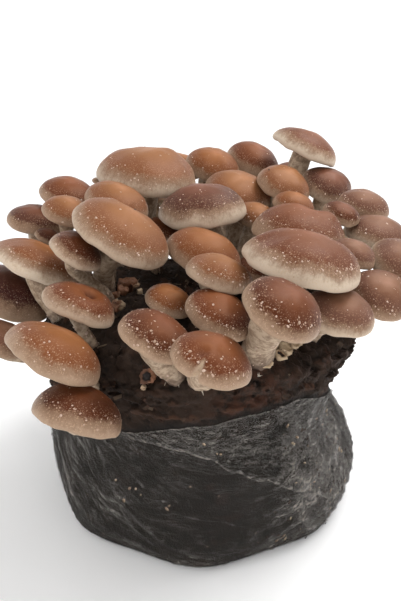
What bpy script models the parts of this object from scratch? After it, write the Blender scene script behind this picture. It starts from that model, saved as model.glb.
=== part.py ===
"""A shiitake grow kit: a bagged block of dark substrate, crowded with mushrooms on its top and shoulders.

Metres, Z up. The origin is the middle of the flat base, and the front faces -Y.
"""

import math
from collections import namedtuple

import bmesh
import bpy
from mathutils import Vector, noise

MM = 0.001
COLLECTION = "shiitake grow kit"

# The block and its bag
SEGMENTS = 32
FILM = 0.8 * MM
GAP = 0.3 * MM
FOOT_GAP = 0.45 * MM
BLOCK_SLACK = 1.2 * MM
SHOULDER = 106 * MM
BLOCK_TOP = 119 * MM
BLOCK_MIDDLE = 124 * MM
CHIP_SIZE = 14 * MM
CHIP_DEPTH = 2.2 * MM

# The block's rings above its wall, as shares of the wall's radius and heights
TOP_RINGS = ((1, 106), (0.94, 114), (0.78, 119), (0.4, 123))

# The outer wall of the bag, and above it the block, as height and radius, with eight folds near the floor
WALL = ((0, 88), (4, 91), (20, 93.5), (45, 92.5), (66, 90), (85, 90), (104, 91.5))
FOLDS = 8
FOLD_DEPTH = 1.8 * MM
FOLD_TOP = 60 * MM

# Where the wall goes in or out: the waist that the bag is drawn in to on the right, and a bulge below it
Swell = namedtuple("Swell", "out bearing height wide tall")
SWELLS = (Swell(-15, 92, 66, 48, 23), Swell(4, 76, 14, 32, 17))

# The height of the bag's rim at each bearing, in degrees from the front and positive to the right
RIM = (
    (-180, 72),
    (-110, 66),
    (-60, 70),
    (-28, 77),
    (0, 85.5),
    (16, 90),
    (30, 91.5),
    (48, 83),
    (72, 69),
    (110, 66),
    (180, 72),
)

# The point of view that the mushrooms are placed from
EYE = Vector((0, -0.289, 0.222))
PITCH = math.radians(20.8)
FOCAL = 520
MIDDLE = (200.5, 300.5)
FORWARD = Vector((0, math.cos(PITCH), -math.sin(PITCH)))
RIGHT = Vector((1, 0, 0))
UP = RIGHT.cross(FORWARD)

# One cap from near its top to its lip, as shares of its radius outwards and upwards from the lip, then
# the height of its top, and of the point in it that the pixel marks
CAP_PROFILE = ((0.45, 0.66), (0.8, 0.46), (0.98, 0.2), (0.93, 0.0))
CAP_TOP = 0.72
CAP_MIDDLE = 0.26

# How far out of round a cap is: twice and three times round, as shares of its radius
OVAL = 0.025
LOBED = 0.015

# How many sides a cap has from each width in millimetres upwards
CAP_SIDES = ((48, 12), (30, 10), (0, 8))

# One stem: how high in the cap it starts, its radius, and its widths along it, as shares of the cap's
# radius, of that, and of itself
STEM_TOP = 0.15
STEM_SHARE = 0.23
STEM_WIDTHS = ((0, 1.25), (0.5, 0.95), (1, 1.1))
STEM_SINK = 5 * MM

# How much of the stem's length it keeps the cap's direction for, how much it turns up out of the block
# for, and how steeply
KEEPS = 0.4
TURNS_UP = 0.3
STEEPNESS = 0.8

# The least rise and the shortest stem where the foot is straight below the cap
LEAST_RISE = 0.4
SHORTEST_STEM = 18 * MM

# The skin colours that the mushrooms take in turn, in sRGB
SKINS = ((160, 107, 69), (139, 94, 67), (122, 69, 48), (138, 102, 90), (166, 116, 74))

Shoot = namedtuple(
    "Shoot", "name across down away cap slope facing foot flat stem", defaults=[None, 1, STEM_SHARE]
)

# Each mushroom that the front shows: the pixel its cap is centred on, its distance in millimetres, the
# cap's width in millimetres, the degrees that its long axis falls to the right, the degrees between
# its axis and the line of sight, and its foot where that isn't straight below the cap. A flat cap has its
# height as a share of the others', and a thick or thin stem its radius as a share of the cap's
SHOOTS = (
    Shoot("mushroom_front_1", 285, 306, 195, 32.7, 35, 60, (19, 82), stem=0.38),
    Shoot("mushroom_front_2", 213, 356, 190, 31, 22, 62, (0, 93), stem=0.3),
    Shoot("mushroom_front_3", 158, 333, 206, 30.5, 25, 62, (-8, 91), stem=0.31),
    Shoot("mushroom_front_4", 221, 312, 228, 32.2, 26, 63),
    Shoot("mushroom_front_5", 170, 299, 254, 25.5, 20, 63),
    Shoot("mushroom_front_6", 340, 309, 228, 33, 20, 60, (42, 80), flat=0.94),
    Shoot("mushroom_front_7", 305, 257, 234, 53, 18, 76, flat=0.9),
    Shoot("mushroom_front_8", 221, 272, 240, 32.4, 20, 74),
    Shoot("mushroom_front_9", 206, 250.5, 270, 40.4, 22, 66, (12, 38)),
    Shoot("mushroom_front_10", 252, 268, 279, 19.5, 20, 66),
    Shoot("mushroom_left_1", 57, 350, 214, 42, 28, 74, (-38, 93), flat=0.93),
    Shoot("mushroom_left_2", 80, 408, 212, 38, 18, 75, (-34, 106)),
    Shoot("mushroom_left_3", 81, 302, 234, 34.5, 24, 72, (-38, 85), flat=0.9, stem=0.18),
    Shoot("mushroom_left_4", 41, 262, 269, 49, 22, 80, (-69, 82), flat=0.8),
    Shoot("mushroom_left_5", 124, 229, 253, 49.5, 28, 66, (-80, 56), flat=0.85),
    Shoot("mushroom_left_6", 12, 290, 286, 47.9, 18, 68, (-98, 100), flat=1.06),
    Shoot("mushroom_left_7", 2, 337, 250, 29, 25, 65),
    Shoot("mushroom_left_8", 78, 249, 247, 27.3, 30, 68, (-65, 55)),
    Shoot("mushroom_left_9", 68, 210, 284, 27.5, 15, 64, (-95, 66)),
    Shoot("mushroom_left_10", 69, 192, 312, 34.5, 10, 70),
    Shoot("mushroom_left_11", 37, 219, 306, 33, 9, 70, (-104, 92)),
    Shoot("mushroom_left_12", 49, 236, 289, 15, 20, 66),
    Shoot("mushroom_left_13", 118, 200, 289, 36.6, 15, 68),
    Shoot("mushroom_right_1", 403, 262, 268, 35.7, 36, 60, (65, 84)),
    Shoot("mushroom_right_2", 382, 292, 246, 31.5, 33, 54),
    Shoot("mushroom_right_3", 378, 232, 296, 36, 20, 72),
    Shoot("mushroom_right_4", 364, 203, 319, 31.7, 20, 70),
    Shoot("mushroom_right_5", 354, 252, 258, 23, 25, 66),
    Shoot("mushroom_right_6", 342.5, 212.5, 291, 21.5, 25, 68),
    Shoot("mushroom_crown_1", 299, 228, 281, 51.2, 15, 78),
    Shoot("mushroom_crown_2", 202, 205, 301, 51.5, -4, 75, (110, 14), stem=0.32),
    Shoot("mushroom_crown_3", 149, 170, 327.5, 63, 7, 75, flat=0.94),
    Shoot("mushroom_crown_4", 181, 165, 380, 34, 12, 72, (182, 74)),
    Shoot("mushroom_crown_5", 213.5, 163.5, 366, 38.6, 14, 62, (185, 58), stem=0.3),
    Shoot("mushroom_crown_6", 254.5, 158.5, 386, 40.5, 22, 66, (168, 80)),
    Shoot("mushroom_crown_7", 307, 145, 356, 47, 27, 86, (135, 94), flat=0.87),
    Shoot("mushroom_crown_8", 285, 182.5, 333, 37, 26, 66, (130, 60)),
    Shoot("mushroom_crown_9", 328, 184, 348.5, 36.2, 29, 62, (118, 76)),
    Shoot("mushroom_crown_10", 239.5, 189.5, 340, 45.5, 18, 66, (150, 52), flat=0.93, stem=0.3),
    Shoot("mushroom_crown_11", 294.5, 203, 309, 25.4, 20, 70),
    Shoot("mushroom_crown_12", 257, 215, 314, 27, 18, 64, (118, 26), stem=0.36),
    Shoot("mushroom_crown_13", 99, 181, 335, 9, 10, 75),
    Shoot("mushroom_crown_14", 291, 172, 394, 26.5, 15, 70, (141, 84)),
    Shoot("mushroom_crown_15", 165, 229, 315, 26, 20, 66),
)

Hidden = namedtuple("Hidden", "name bearing reach height cap lean")

# Each mushroom on the sides and back that the front hides: its cap's bearing, reach and height, its
# width, all in millimetres and degrees, and how far it leans outwards
HIDDEN = (
    Hidden("mushroom_back_1", 177, 112, 137, 29.9, 28),
    Hidden("mushroom_back_2", 156, 110, 134, 24, 32),
    Hidden("mushroom_back_3", 202, 92, 157, 29.9, 16),
    Hidden("mushroom_back_4", 227, 100, 134, 29.9, 30),
    Hidden("mushroom_back_5", 122, 108, 131, 32, 30),
    Hidden("mushroom_back_6", 189, 110, 98, 31, 40),
    Hidden("mushroom_back_7", 172, 110, 100, 29.5, 42),
    Hidden("mushroom_back_8", 212, 110, 100, 29.5, 40),
    Hidden("mushroom_back_9", 240, 106, 104, 28, 40),
    Hidden("mushroom_back_10", 141, 109, 96, 26, 40),
)

for leftover in list(bpy.data.objects):
    bpy.data.objects.remove(leftover)


def kept_in(name, hidden):
    folder = bpy.data.collections.new(name)
    bpy.context.scene.collection.children.link(folder)
    folder.hide_render = hidden
    return folder


KIT = kept_in(COLLECTION, False)
CUTTERS = kept_in("cutters", True)


def finish(name, colour, roughness):
    """A plain material: sRGB colour as three numbers from 0 to 255."""
    made = bpy.data.materials.new(name)
    made.use_nodes = True
    shader = made.node_tree.nodes["Principled BSDF"]
    linear = [(value / 255) ** 2.2 for value in colour]
    shader.inputs["Base Color"].default_value = (*linear, 1)
    shader.inputs["Roughness"].default_value = roughness
    shader.inputs["Metallic"].default_value = 0
    return made


def drawn_out(name, start, rings, end, folder):
    """A closed body: a ball whose rings are drawn out in turn to the given rings, from its start to its end."""
    around = len(rings[0])
    shape = bmesh.new()
    bmesh.ops.create_uvsphere(shape, u_segments=around, v_segments=len(rings) + 1, radius=1)
    placed = []
    for vertex in shape.verts:
        level = round(math.acos(max(-1, min(1, vertex.co.z))) * (len(rings) + 1) / math.pi)
        turn = round(math.atan2(vertex.co.y, vertex.co.x) * around / math.tau) % around
        placed.append((vertex, level, turn))
    for vertex, level, turn in placed:
        if level == 0:
            vertex.co = start
        elif level > len(rings):
            vertex.co = end
        else:
            vertex.co = rings[level - 1][turn]
    bmesh.ops.triangulate(shape, faces=shape.faces, quad_method="FIXED")
    if shape.calc_volume(signed=True) < 0:
        bmesh.ops.reverse_faces(shape, faces=shape.faces)
    mesh = bpy.data.meshes.new(name)
    shape.to_mesh(mesh)
    shape.free()
    mesh.shade_smooth()
    body = bpy.data.objects.new(name, mesh)
    folder.objects.link(body)
    return body


def between(pairs, at):
    """The value at a place in a list of places and values, eased from one to the next."""
    for (low, first), (high, second) in zip(pairs, pairs[1:]):
        if at <= high:
            share = max(0, (at - low) / (high - low))
            return first + (second - first) * share * share * (3 - 2 * share)
    return pairs[-1][1]


def turned_from(bearing, centre):
    return (bearing - centre + 180) % 360 - 180


def wall(bearing, height):
    """The outer radius of the bag, and above it of the block, at a bearing and height."""
    radius = between(WALL, height / MM) * MM
    fold = FOLD_DEPTH * max(0, 1 - height / FOLD_TOP)
    radius += fold * math.cos(math.radians(FOLDS * bearing))
    for swell in SWELLS:
        beside = turned_from(bearing, swell.bearing) / swell.wide
        above = (height / MM - swell.height) / swell.tall
        radius += swell.out * MM * math.exp(-(beside**2) - above**2)
    return radius


def rim(bearing):
    return between(RIM, turned_from(bearing, 0)) * MM


def around_block(bearing, radius, height):
    angle = math.radians(bearing)
    return Vector((radius * math.sin(angle), -radius * math.cos(angle), height))


BEARINGS = [360 * turn / SEGMENTS for turn in range(SEGMENTS)]


def wall_ring(inset, height_at):
    """A ring this far inside the wall, at a height that may change with the bearing."""
    ring = []
    for bearing in BEARINGS:
        height = height_at(bearing)
        ring.append(around_block(bearing, wall(bearing, height) - inset, height))
    return ring


BAG_LEVELS = (4 * MM, 20 * MM, 45 * MM)


def bag():
    """The thin bag: a cup with a wavy rim, open at the top."""
    outside = [wall_ring(0, lambda bearing: 0)]
    outside += [wall_ring(0, lambda bearing, z=z: z) for z in BAG_LEVELS]
    outside.append(wall_ring(0, rim))
    inside = [wall_ring(FILM, rim)]
    inside += [wall_ring(FILM, lambda bearing, z=z: z) for z in reversed(BAG_LEVELS)]
    floor = Vector((0, 0, FILM))
    inside.append([point + floor for point in wall_ring(FILM, lambda bearing: 0)])
    body = drawn_out("bag", Vector((0, 0, 0)), outside + inside, floor, KIT)
    body.data.materials.append(finish("bag_film", (86, 82, 78), 0.35))


def chip(point, amount):
    """The block's rough face above the bag, pushed in and out by large lumps and smaller ones."""
    lump = noise.noise(point / CHIP_SIZE) + noise.noise(2 * point / CHIP_SIZE) / 2
    return point + point.normalized() * lump * amount


# The block's outline from the middle of its top, over the shoulder and down its side
OVER_EDGE = ((0, 124), (36, 123), (71, 119), (86, 114), (91, 106), (90, 84), (89, 70))


def on_block(bearing, along):
    """The place on the block this far along its outline from the middle of its top, and the way out of it."""
    gone = 0
    for (first_reach, first_height), (reach, height) in zip(OVER_EDGE, OVER_EDGE[1:]):
        step = Vector((reach - first_reach, height - first_height))
        if along <= gone + step.length or reach == OVER_EDGE[-1][0]:
            share = (along - gone) / step.length
            place = Vector((first_reach, first_height)) + step * share
            out = Vector((-step.y, step.x)).normalized()
            return (
                around_block(bearing, place.x * MM, place.y * MM),
                around_block(bearing, out.x, out.y).normalized(),
            )
        gone += step.length


def block(name, grown, folder):
    """The substrate block, or with grown more than 0 the space that it and its clearance fill."""
    inset = FILM + BLOCK_SLACK - grown
    floor = Vector((0, 0, FILM + GAP - grown))
    rings = [[point + floor for point in wall_ring(inset, lambda bearing: 0)]]
    rings += [wall_ring(inset, lambda bearing, z=z: z) for z in BAG_LEVELS]
    rings.append(wall_ring(inset, rim))
    face = wall_ring(-grown, lambda bearing: (rim(bearing) + SHOULDER) / 2)
    rings.append([chip(point, CHIP_DEPTH / 2) for point in face])
    for share, height in TOP_RINGS:
        ring = []
        for bearing in BEARINGS:
            radius = wall(bearing, SHOULDER) * share + grown
            ring.append(chip(around_block(bearing, radius, height * MM + grown), CHIP_DEPTH))
        rings.append(ring)
    return drawn_out(name, floor, rings, Vector((0, 0, BLOCK_MIDDLE + grown)), folder)


# Stunted mushrooms and torn stumps that are part of the block: bearing, distance along its outline and radius
KNOBS = ((-82, 42, 5), (-52, 55, 3.4), (-15, 91, 3.9), (-17, 98, 1.7), (-146, 72, 2.6))
KNOB_STANDS_OUT = 0.3


def knob(body, number, bearing, along, radius):
    """Joins one round knob to the block, more than half of it standing out."""
    place, out = on_block(bearing, along)
    bpy.ops.mesh.primitive_uv_sphere_add(segments=8, ring_count=5, radius=radius * MM, location=place)
    lump = bpy.context.object
    lump.name = f"knob {number}"
    lump.location += out * radius * KNOB_STANDS_OUT * MM
    lump.display_type = "WIRE"
    lump.hide_render = True
    for folder in lump.users_collection:
        folder.objects.unlink(lump)
    CUTTERS.objects.link(lump)
    join = body.modifiers.new(lump.name, "BOOLEAN")
    join.object = lump
    join.operation = "UNION"


# How far along the block's outline a foot is, for each distance from the block's axis
FOOT_ALONG = ((0, 0), (20, 18), (40, 36), (60, 54), (85, 76), (125, 104))


def straight_below(centre, axis):
    """The bearing and distance along the block's outline where a cap's own axis meets the block."""
    drop = (centre.z - BLOCK_TOP) / max(LEAST_RISE, axis.z)
    under = centre - axis * max(drop, SHORTEST_STEM)
    along = between(FOOT_ALONG, under.xy.length / MM)
    lowered = max(0, (BLOCK_TOP - centre.z) / MM)
    return math.degrees(math.atan2(under.x, -under.y)), along + lowered


def uneven(index, turn):
    """How far out of round a cap is at an angle, a little different on each."""
    return 1 + OVAL * math.sin(2 * turn + index) + LOBED * math.sin(3 * turn + 2 * index)


def sides_for(cap):
    return next(sides for width, sides in CAP_SIDES if cap >= width)


def grown(index, name, centre, axis, side, cap, foot, flat=1, stem=STEM_SHARE):
    """One mushroom: a domed cap with a rolled lip, gills under it and a bent stem to its foot in the block."""
    radius = cap * MM / 2
    ahead = axis.cross(side)
    count = sides_for(cap)
    turns = [math.tau * turn / count for turn in range(count)]

    def ring(middle, across, away, reaches):
        ways = [across * math.cos(turn) + away * math.sin(turn) for turn in turns]
        return [middle + way * reach for way, reach in zip(ways, reaches)]

    height = radius * flat
    lip = centre - axis * height * CAP_MIDDLE
    rings = []
    for out, up in CAP_PROFILE:
        reaches = [radius * out * uneven(index, turn) for turn in turns]
        rings.append(ring(lip + axis * height * up, side, ahead, reaches))
    root, out_of_block = foot
    top = lip + axis * height * STEM_TOP
    length = (top - root).length
    steep = (out_of_block + Vector((0, 0, STEEPNESS))).normalized()
    leaves = top - axis * length * KEEPS
    meets = root + steep * length * TURNS_UP
    end = root - out_of_block * STEM_SINK
    heading = -axis
    for share, width in STEM_WIDTHS:
        rest = 1 - share
        near_cap = top * rest**2 + leaves * 2 * rest * share + meets * share**2
        near_foot = leaves * rest**2 + meets * 2 * rest * share + end * share**2
        flow = (near_foot - near_cap).normalized()
        swing = heading.rotation_difference(flow)
        side, ahead, heading = swing @ side, swing @ ahead, flow
        place = near_cap * rest + near_foot * share
        rings.append(ring(place, side, ahead, [radius * stem * width] * count))
    body = drawn_out(name, lip + axis * height * CAP_TOP, rings, end, KIT)
    cut = body.modifiers.new("foot meets block", "BOOLEAN")
    cut.object = clearance
    cut.operation = "DIFFERENCE"
    body.data.materials.append(finish(name + "_skin", SKINS[index % len(SKINS)], 0.6))


bag()
substrate = block("substrate_block", 0, KIT)
substrate.data.materials.append(finish("substrate", (38, 31, 27), 0.9))
for number, (bearing, along, radius) in enumerate(KNOBS, 1):
    knob(substrate, number, bearing, along, radius)
clearance = block("block clearance", FOOT_GAP, CUTTERS)
clearance.display_type = "WIRE"
clearance.hide_render = True

for number, shoot in enumerate(SHOOTS):
    sight = FORWARD + RIGHT * ((shoot.across - MIDDLE[0]) / FOCAL) + UP * ((MIDDLE[1] - shoot.down) / FOCAL)
    centre = EYE + sight * shoot.away * MM
    slope, facing = math.radians(shoot.slope), math.radians(shoot.facing)
    towards = -sight.normalized()
    raised = (RIGHT * math.sin(slope) + UP * math.cos(slope)).cross(towards)
    raised = towards.cross(raised).normalized()
    axis = towards * math.cos(facing) + raised * math.sin(facing)
    side = axis.cross(towards).normalized()
    foot = on_block(*(shoot.foot or straight_below(centre, axis)))
    grown(number, shoot.name, centre, axis, side, shoot.cap, foot, shoot.flat, shoot.stem)

for number, shoot in enumerate(HIDDEN, len(SHOOTS)):
    centre = around_block(shoot.bearing, shoot.reach * MM, shoot.height * MM)
    outwards = around_block(shoot.bearing, 1, 0)
    lean = math.radians(shoot.lean)
    axis = outwards * math.sin(lean) + Vector((0, 0, math.cos(lean)))
    side = outwards.cross(axis).normalized()
    foot = on_block(*straight_below(centre, axis))
    grown(number, shoot.name, centre, axis, side, shoot.cap, foot)
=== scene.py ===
import math
import random
from collections import namedtuple

import bmesh
import bpy
from mathutils import Matrix, Quaternion, Vector, noise


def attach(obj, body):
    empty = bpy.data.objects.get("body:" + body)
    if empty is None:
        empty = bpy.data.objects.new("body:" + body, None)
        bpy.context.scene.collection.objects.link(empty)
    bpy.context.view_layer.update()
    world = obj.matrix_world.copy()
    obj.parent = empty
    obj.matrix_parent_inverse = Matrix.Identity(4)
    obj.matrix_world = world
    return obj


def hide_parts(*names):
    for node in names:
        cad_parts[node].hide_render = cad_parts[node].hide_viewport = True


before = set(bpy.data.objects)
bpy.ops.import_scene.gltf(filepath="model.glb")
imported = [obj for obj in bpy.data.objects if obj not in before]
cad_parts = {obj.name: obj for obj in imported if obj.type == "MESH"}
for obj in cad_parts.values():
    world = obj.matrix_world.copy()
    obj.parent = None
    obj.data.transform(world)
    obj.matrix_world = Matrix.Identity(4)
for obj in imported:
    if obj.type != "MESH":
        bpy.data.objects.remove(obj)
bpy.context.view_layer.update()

# The mushrooms are placed from here too, each by the pixel of the 401 x 601 picture that its cap is centred
# on.
MM = 0.001
PER_MM = 1000
EYE = Vector((0, -0.289, 0.222))
PITCH = math.radians(20.8)
FOCAL = 520
MIDDLE = (200.5, 300.5)
SENSOR = 36
FORWARD = Vector((0, math.cos(PITCH), -math.sin(PITCH)))
RIGHT = Vector((1, 0, 0))
UP = RIGHT.cross(FORWARD)

bpy.ops.object.select_all(action="DESELECT")
bpy.ops.object.camera_add(location=EYE, rotation=(math.pi / 2 - PITCH, 0, 0))
camera = bpy.context.object
camera.data.sensor_width = SENSOR
camera.data.lens = SENSOR * FOCAL / (2 * MIDDLE[1])
camera.data.clip_start = 0.01
bpy.context.scene.camera = camera


SHOULDER = 106
BLOCK_TOP = 119
BLOCK_MIDDLE = 124

# The wall's radius by its height, and the rounded top as shares of that radius and heights
WALL = ((0, 88), (4, 91), (20, 93.5), (45, 92.5), (66, 90), (85, 90), (104, 91.5))
TOP_RINGS = ((1, SHOULDER), (0.94, 114), (0.78, BLOCK_TOP), (0.4, 123), (0, BLOCK_MIDDLE))

# Folds round the foot, and swellings and hollows of the wall
FOLDS = 8
FOLD_DEPTH = 1.8
FOLD_TOP = 60
Swell = namedtuple("Swell", "out bearing height wide tall")
SWELLS = (Swell(-15, 92, 66, 48, 23), Swell(4, 76, 14, 32, 17))

# The film's cut rim: its height by the bearing
RIM = (
    (-180, 72),
    (-110, 66),
    (-60, 70),
    (-28, 77),
    (0, 85.5),
    (16, 90),
    (30, 91.5),
    (48, 83),
    (72, 69),
    (110, 66),
    (180, 72),
)


def between(pairs, at):
    """The value at a place in a list of places and values, eased from one to the next."""
    for (low, first), (high, second) in zip(pairs, pairs[1:]):
        if at <= high:
            share = max(0, (at - low) / (high - low))
            return first + (second - first) * share * share * (3 - 2 * share)
    return pairs[-1][1]


def turned_from(bearing, centre):
    """How far a bearing is turned from another, from -180 to 180 degrees."""
    return (bearing - centre + 180) % 360 - 180


def nearness(patch, bearing, height):
    """1 in the middle of a swelling or cloudy patch, falling to 0 beyond its width and height."""
    beside = turned_from(bearing, patch.bearing) / patch.wide
    above = (height - patch.height) / patch.tall
    return math.exp(-(beside**2) - above**2)


def wall(bearing, height):
    """The outer radius of the bag, and above it of the block, in millimetres at a bearing and height."""
    radius = between(WALL, height)
    radius += FOLD_DEPTH * max(0, 1 - height / FOLD_TOP) * math.cos(math.radians(FOLDS * bearing))
    for swell in SWELLS:
        radius += swell.out * nearness(swell, bearing, height)
    return radius


def around_block(bearing, radius, height):
    """A point in metres from a bearing in degrees, positive to the right of the front, and millimetres."""
    angle = math.radians(bearing)
    return Vector((radius * math.sin(angle), -radius * math.cos(angle), height)) * MM


def rim(bearing):
    """The height of the film's rim in millimetres at any bearing."""
    return between(RIM, turned_from(bearing, 0))


# Bag
# The thin clear film that the block was grown in, cut open and pushed down round it. It clings to the block,
# creased and clouded where it was stretched, and its cut top hangs folded over on the front right.
BAG_SIDES = 300
BAG_ROWS = 84
FLOOR_ROWS = 5
BAG_FLOOR = 0.1
FILM_THICK = 0.25

# Creases that were pressed into the film, each from one bearing and height to another, with how far it stands
# out and half its width in millimetres and how cloudy it is, and cloudy patches
Crease = namedtuple("Crease", "first_bearing first_height bearing height rise wide cloud")
CREASES = (
    Crease(9, 60, 15, 63.5, 0.8, 0.9, 0.5),
    Crease(2, 67, 18, 53, 0.6, 1.0, 0.35),
    Crease(18, 53, 33, 40, 0.6, 1.0, 0.35),
    Crease(33, 40, 47, 25, 0.6, 1.0, 0.3),
    Crease(-56, 50, -46, 28, 1.1, 2.0, 0.4),
    Crease(-46, 28, -36, 14, 1.1, 2.0, 0.35),
    Crease(-33, 62, -29, 48, 0.9, 1.3, 0.4),
    Crease(-29, 48, -24, 30, 0.9, 1.3, 0.3),
    Crease(-31, 69, -19, 58, 0.9, 1.3, 0.35),
    Crease(-40, 52, -33, 34, 0.9, 1.6, 0.35),
    Crease(-33, 34, -20, 22, 0.8, 1.4, 0.35),
    Crease(-29, 40, -12, 20, 0.8, 1.3, 0.3),
    Crease(-12, 20, 0, 10, 0.8, 1.3, 0.35),
    Crease(-24, 11, -8, 5, 0.9, 2.0, 0.35),
    Crease(-8, 5, 8, 4, 0.9, 2.0, 0.4),
    Crease(-10, 34, 2, 37, 0.6, 1.2, 0.25),
    Crease(22, 20, 25, 2, 0.9, 1.0, 0.6),
    Crease(27, 72, 31, 56, 0.8, 2.6, 0.3),
    Crease(31, 56, 33, 44, 0.9, 2.2, 0.4),
    Crease(33, 44, 38, 30, 1.0, 2.4, 0.5),
    Crease(33, 25, 40, 8, 1.0, 2.6, 0.6),
    Crease(15, 19, 33, 33, 0.7, 1.2, 0.4),
    Crease(18, 10, 34, 22, 0.7, 1.2, 0.4),
    Crease(26, 38, 41, 33, 0.6, 1.2, 0.3),
    Crease(24, 33, 36, 29, 0.5, 1.1, 0.3),
    Crease(150, 70, 170, 10, 1.0, 2.4, 0.4),
    Crease(-150, 66, -120, 20, 1.0, 2.6, 0.4),
    Crease(100, 62, 118, 14, 0.9, 2.2, 0.4),
    Crease(-100, 60, -84, 10, 0.9, 2.2, 0.4),
)
Cloud = namedtuple("Cloud", "bearing height wide tall thick")
CLOUDS = (
    Cloud(46, 66, 17, 30, 0.5),
    Cloud(36, 24, 12, 24, 0.5),
    Cloud(60, 34, 14, 34, 0.6),
    Cloud(28, 82, 14, 12, 0.3),
    Cloud(-8, 78, 16, 6, 0.3),
    Cloud(-52, 45, 20, 40, 0.32),
    Cloud(-10, 2, 26, 9, 0.1),
    Cloud(10, 74, 22, 9, 0.25),
    Cloud(110, 40, 30, 40, 0.4),
    Cloud(150, 40, 40, 40, 0.35),
    Cloud(-130, 40, 40, 40, 0.35),
)


def bearing_of(place):
    """The bearing of a place in degrees, 0 at the front and positive to the right."""
    return math.degrees(math.atan2(place.x, -place.y))


WALL_RADIUS = 90


def along_wall(degrees):
    return math.radians(degrees) * WALL_RADIUS


def creased(bearing, height):
    """How far the film stands out of its wall in millimetres, and how cloudy it is.

    Its drapes, streaks and wrinkles are noises, each stretched by the millimetres that a place is divided by.
    """
    across = along_wall(bearing)
    drape = noise.noise(Vector((across / 7 + height / 22, height / 60, 0)))
    streak = noise.noise(Vector((across / 30, height / 4 + across / 25, 5)))
    fine = noise.noise(Vector((across / 5, height / 3, 9)))
    side = min(1, abs(turned_from(bearing, 0)) / 40)
    rise = 0.7 * side * (1 - abs(drape) * 2) + 0.35 * streak + 0.16 * fine
    cloud = 0.1 + 0.1 * side * (1 - abs(drape) * 2) + 0.1 * streak
    for crease in CREASES:
        start = along_wall(turned_from(crease.first_bearing, bearing))
        end = along_wall(turned_from(crease.bearing, bearing))
        run = Vector((end - start, crease.height - crease.first_height))
        offset = Vector((-start, height - crease.first_height))
        along = max(0, min(1, offset.dot(run) / run.length_squared))
        away = (offset - run * along).length / crease.wide
        if away < 3:
            ridge = math.exp(-away * away)
            rise += crease.rise * ridge
            cloud += crease.cloud * ridge
    for patch in CLOUDS:
        cloud += patch.thick * nearness(patch, bearing, height)
    return rise, cloud


# The slope of the drapes: the film hangs in folds that fall steeply on the left, run level at the front and
# climb again on the right, so a fold drops this far in millimetres from the left end of its way
DRAPE_FALL = (
    (-180, 0),
    (-100, 0),
    (-60, 0),
    (-45, 26),
    (-30, 48),
    (-15, 60),
    (5, 67),
    (25, 68),
    (40, 60),
    (60, 38),
    (110, 0),
    (180, 0),
)


# Where the film is pressed in or stands away on the right, how crumpled it is round both sides, how its foot
# is held, how little it sinks in between creases, and how far inside the outline it lies where it is flat
PRESSED = (Swell(-2.6, 72, 64, 14, 16), Swell(2.2, 60, 24, 14, 10))
CRUMPLED_RIGHT = ((36, 0), (58, 1), (90, 1), (120, 0))
CRUMPLED_LEFT = ((-120, 0), (-80, 0.4), (-40, 0))
FOOT_HELD = ((0, 0.15), (8, 1))
SINKS = 0.1
LIES_IN = 0.5


def film_stands(bearing, height):
    rise, cloud = creased(bearing, height)
    rise = max(rise, SINKS * rise)
    at = around_block(bearing, WALL_RADIUS, height) / MM
    crumpled = between(CRUMPLED_RIGHT, bearing) + between(CRUMPLED_LEFT, bearing)
    rise += crumpled * (1.1 * noise.noise(at / 6) + 1.2 * noise.noise(at / 2.6))
    for swell in PRESSED:
        rise += swell.out * nearness(swell, bearing, height)
    return between(FOOT_HELD, height) * rise - LIES_IN, cloud


def film_wall(bearing, height, lift=0):
    """A place on the film and how cloudy it is there."""
    stands, cloud = film_stands(bearing, height)
    return around_block(bearing, wall(bearing, height) + stands + lift, height), cloud


# What a point of a mesh can hold, and how Blender calls it
KINDS = {"value": "FLOAT", "vector": "FLOAT_VECTOR", "color": "FLOAT_COLOR"}


def keep(mesh, name, values, kind="value"):
    """Stores a number, place or colour for each point of a mesh, for its material to read."""
    held = mesh.attributes.new(name, KINDS[kind], "POINT")
    held.data.foreach_set(kind, values)


def keep_drapes(piece):
    """Stores how far along the folds each point of the film is, and how far across them, in millimetres."""
    drapes = []
    for vertex in piece.data.vertices:
        bearing = bearing_of(vertex.co)
        along = along_wall(abs(bearing))
        across = vertex.co.z / MM + between(DRAPE_FALL, bearing)
        drapes += [along, across, vertex.co.xy.length / MM]
    keep(piece.data, "drape", drapes, "vector")


def ball(name, around, rings):
    """A ball of that many sides and rings, the only thing selected, to be drawn out into a piece."""
    bpy.ops.object.select_all(action="DESELECT")
    bpy.ops.mesh.primitive_uv_sphere_add(segments=around, ring_count=rings + 1, radius=1)
    piece = bpy.context.object
    piece.name = name
    piece.data.name = name
    return piece


def ring_of(corner, rings):
    """Which ring of a ball a corner lies on, counted from the ball's foot."""
    return round(math.acos(max(-1, min(1, -corner.z))) * rings / math.pi)


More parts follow.
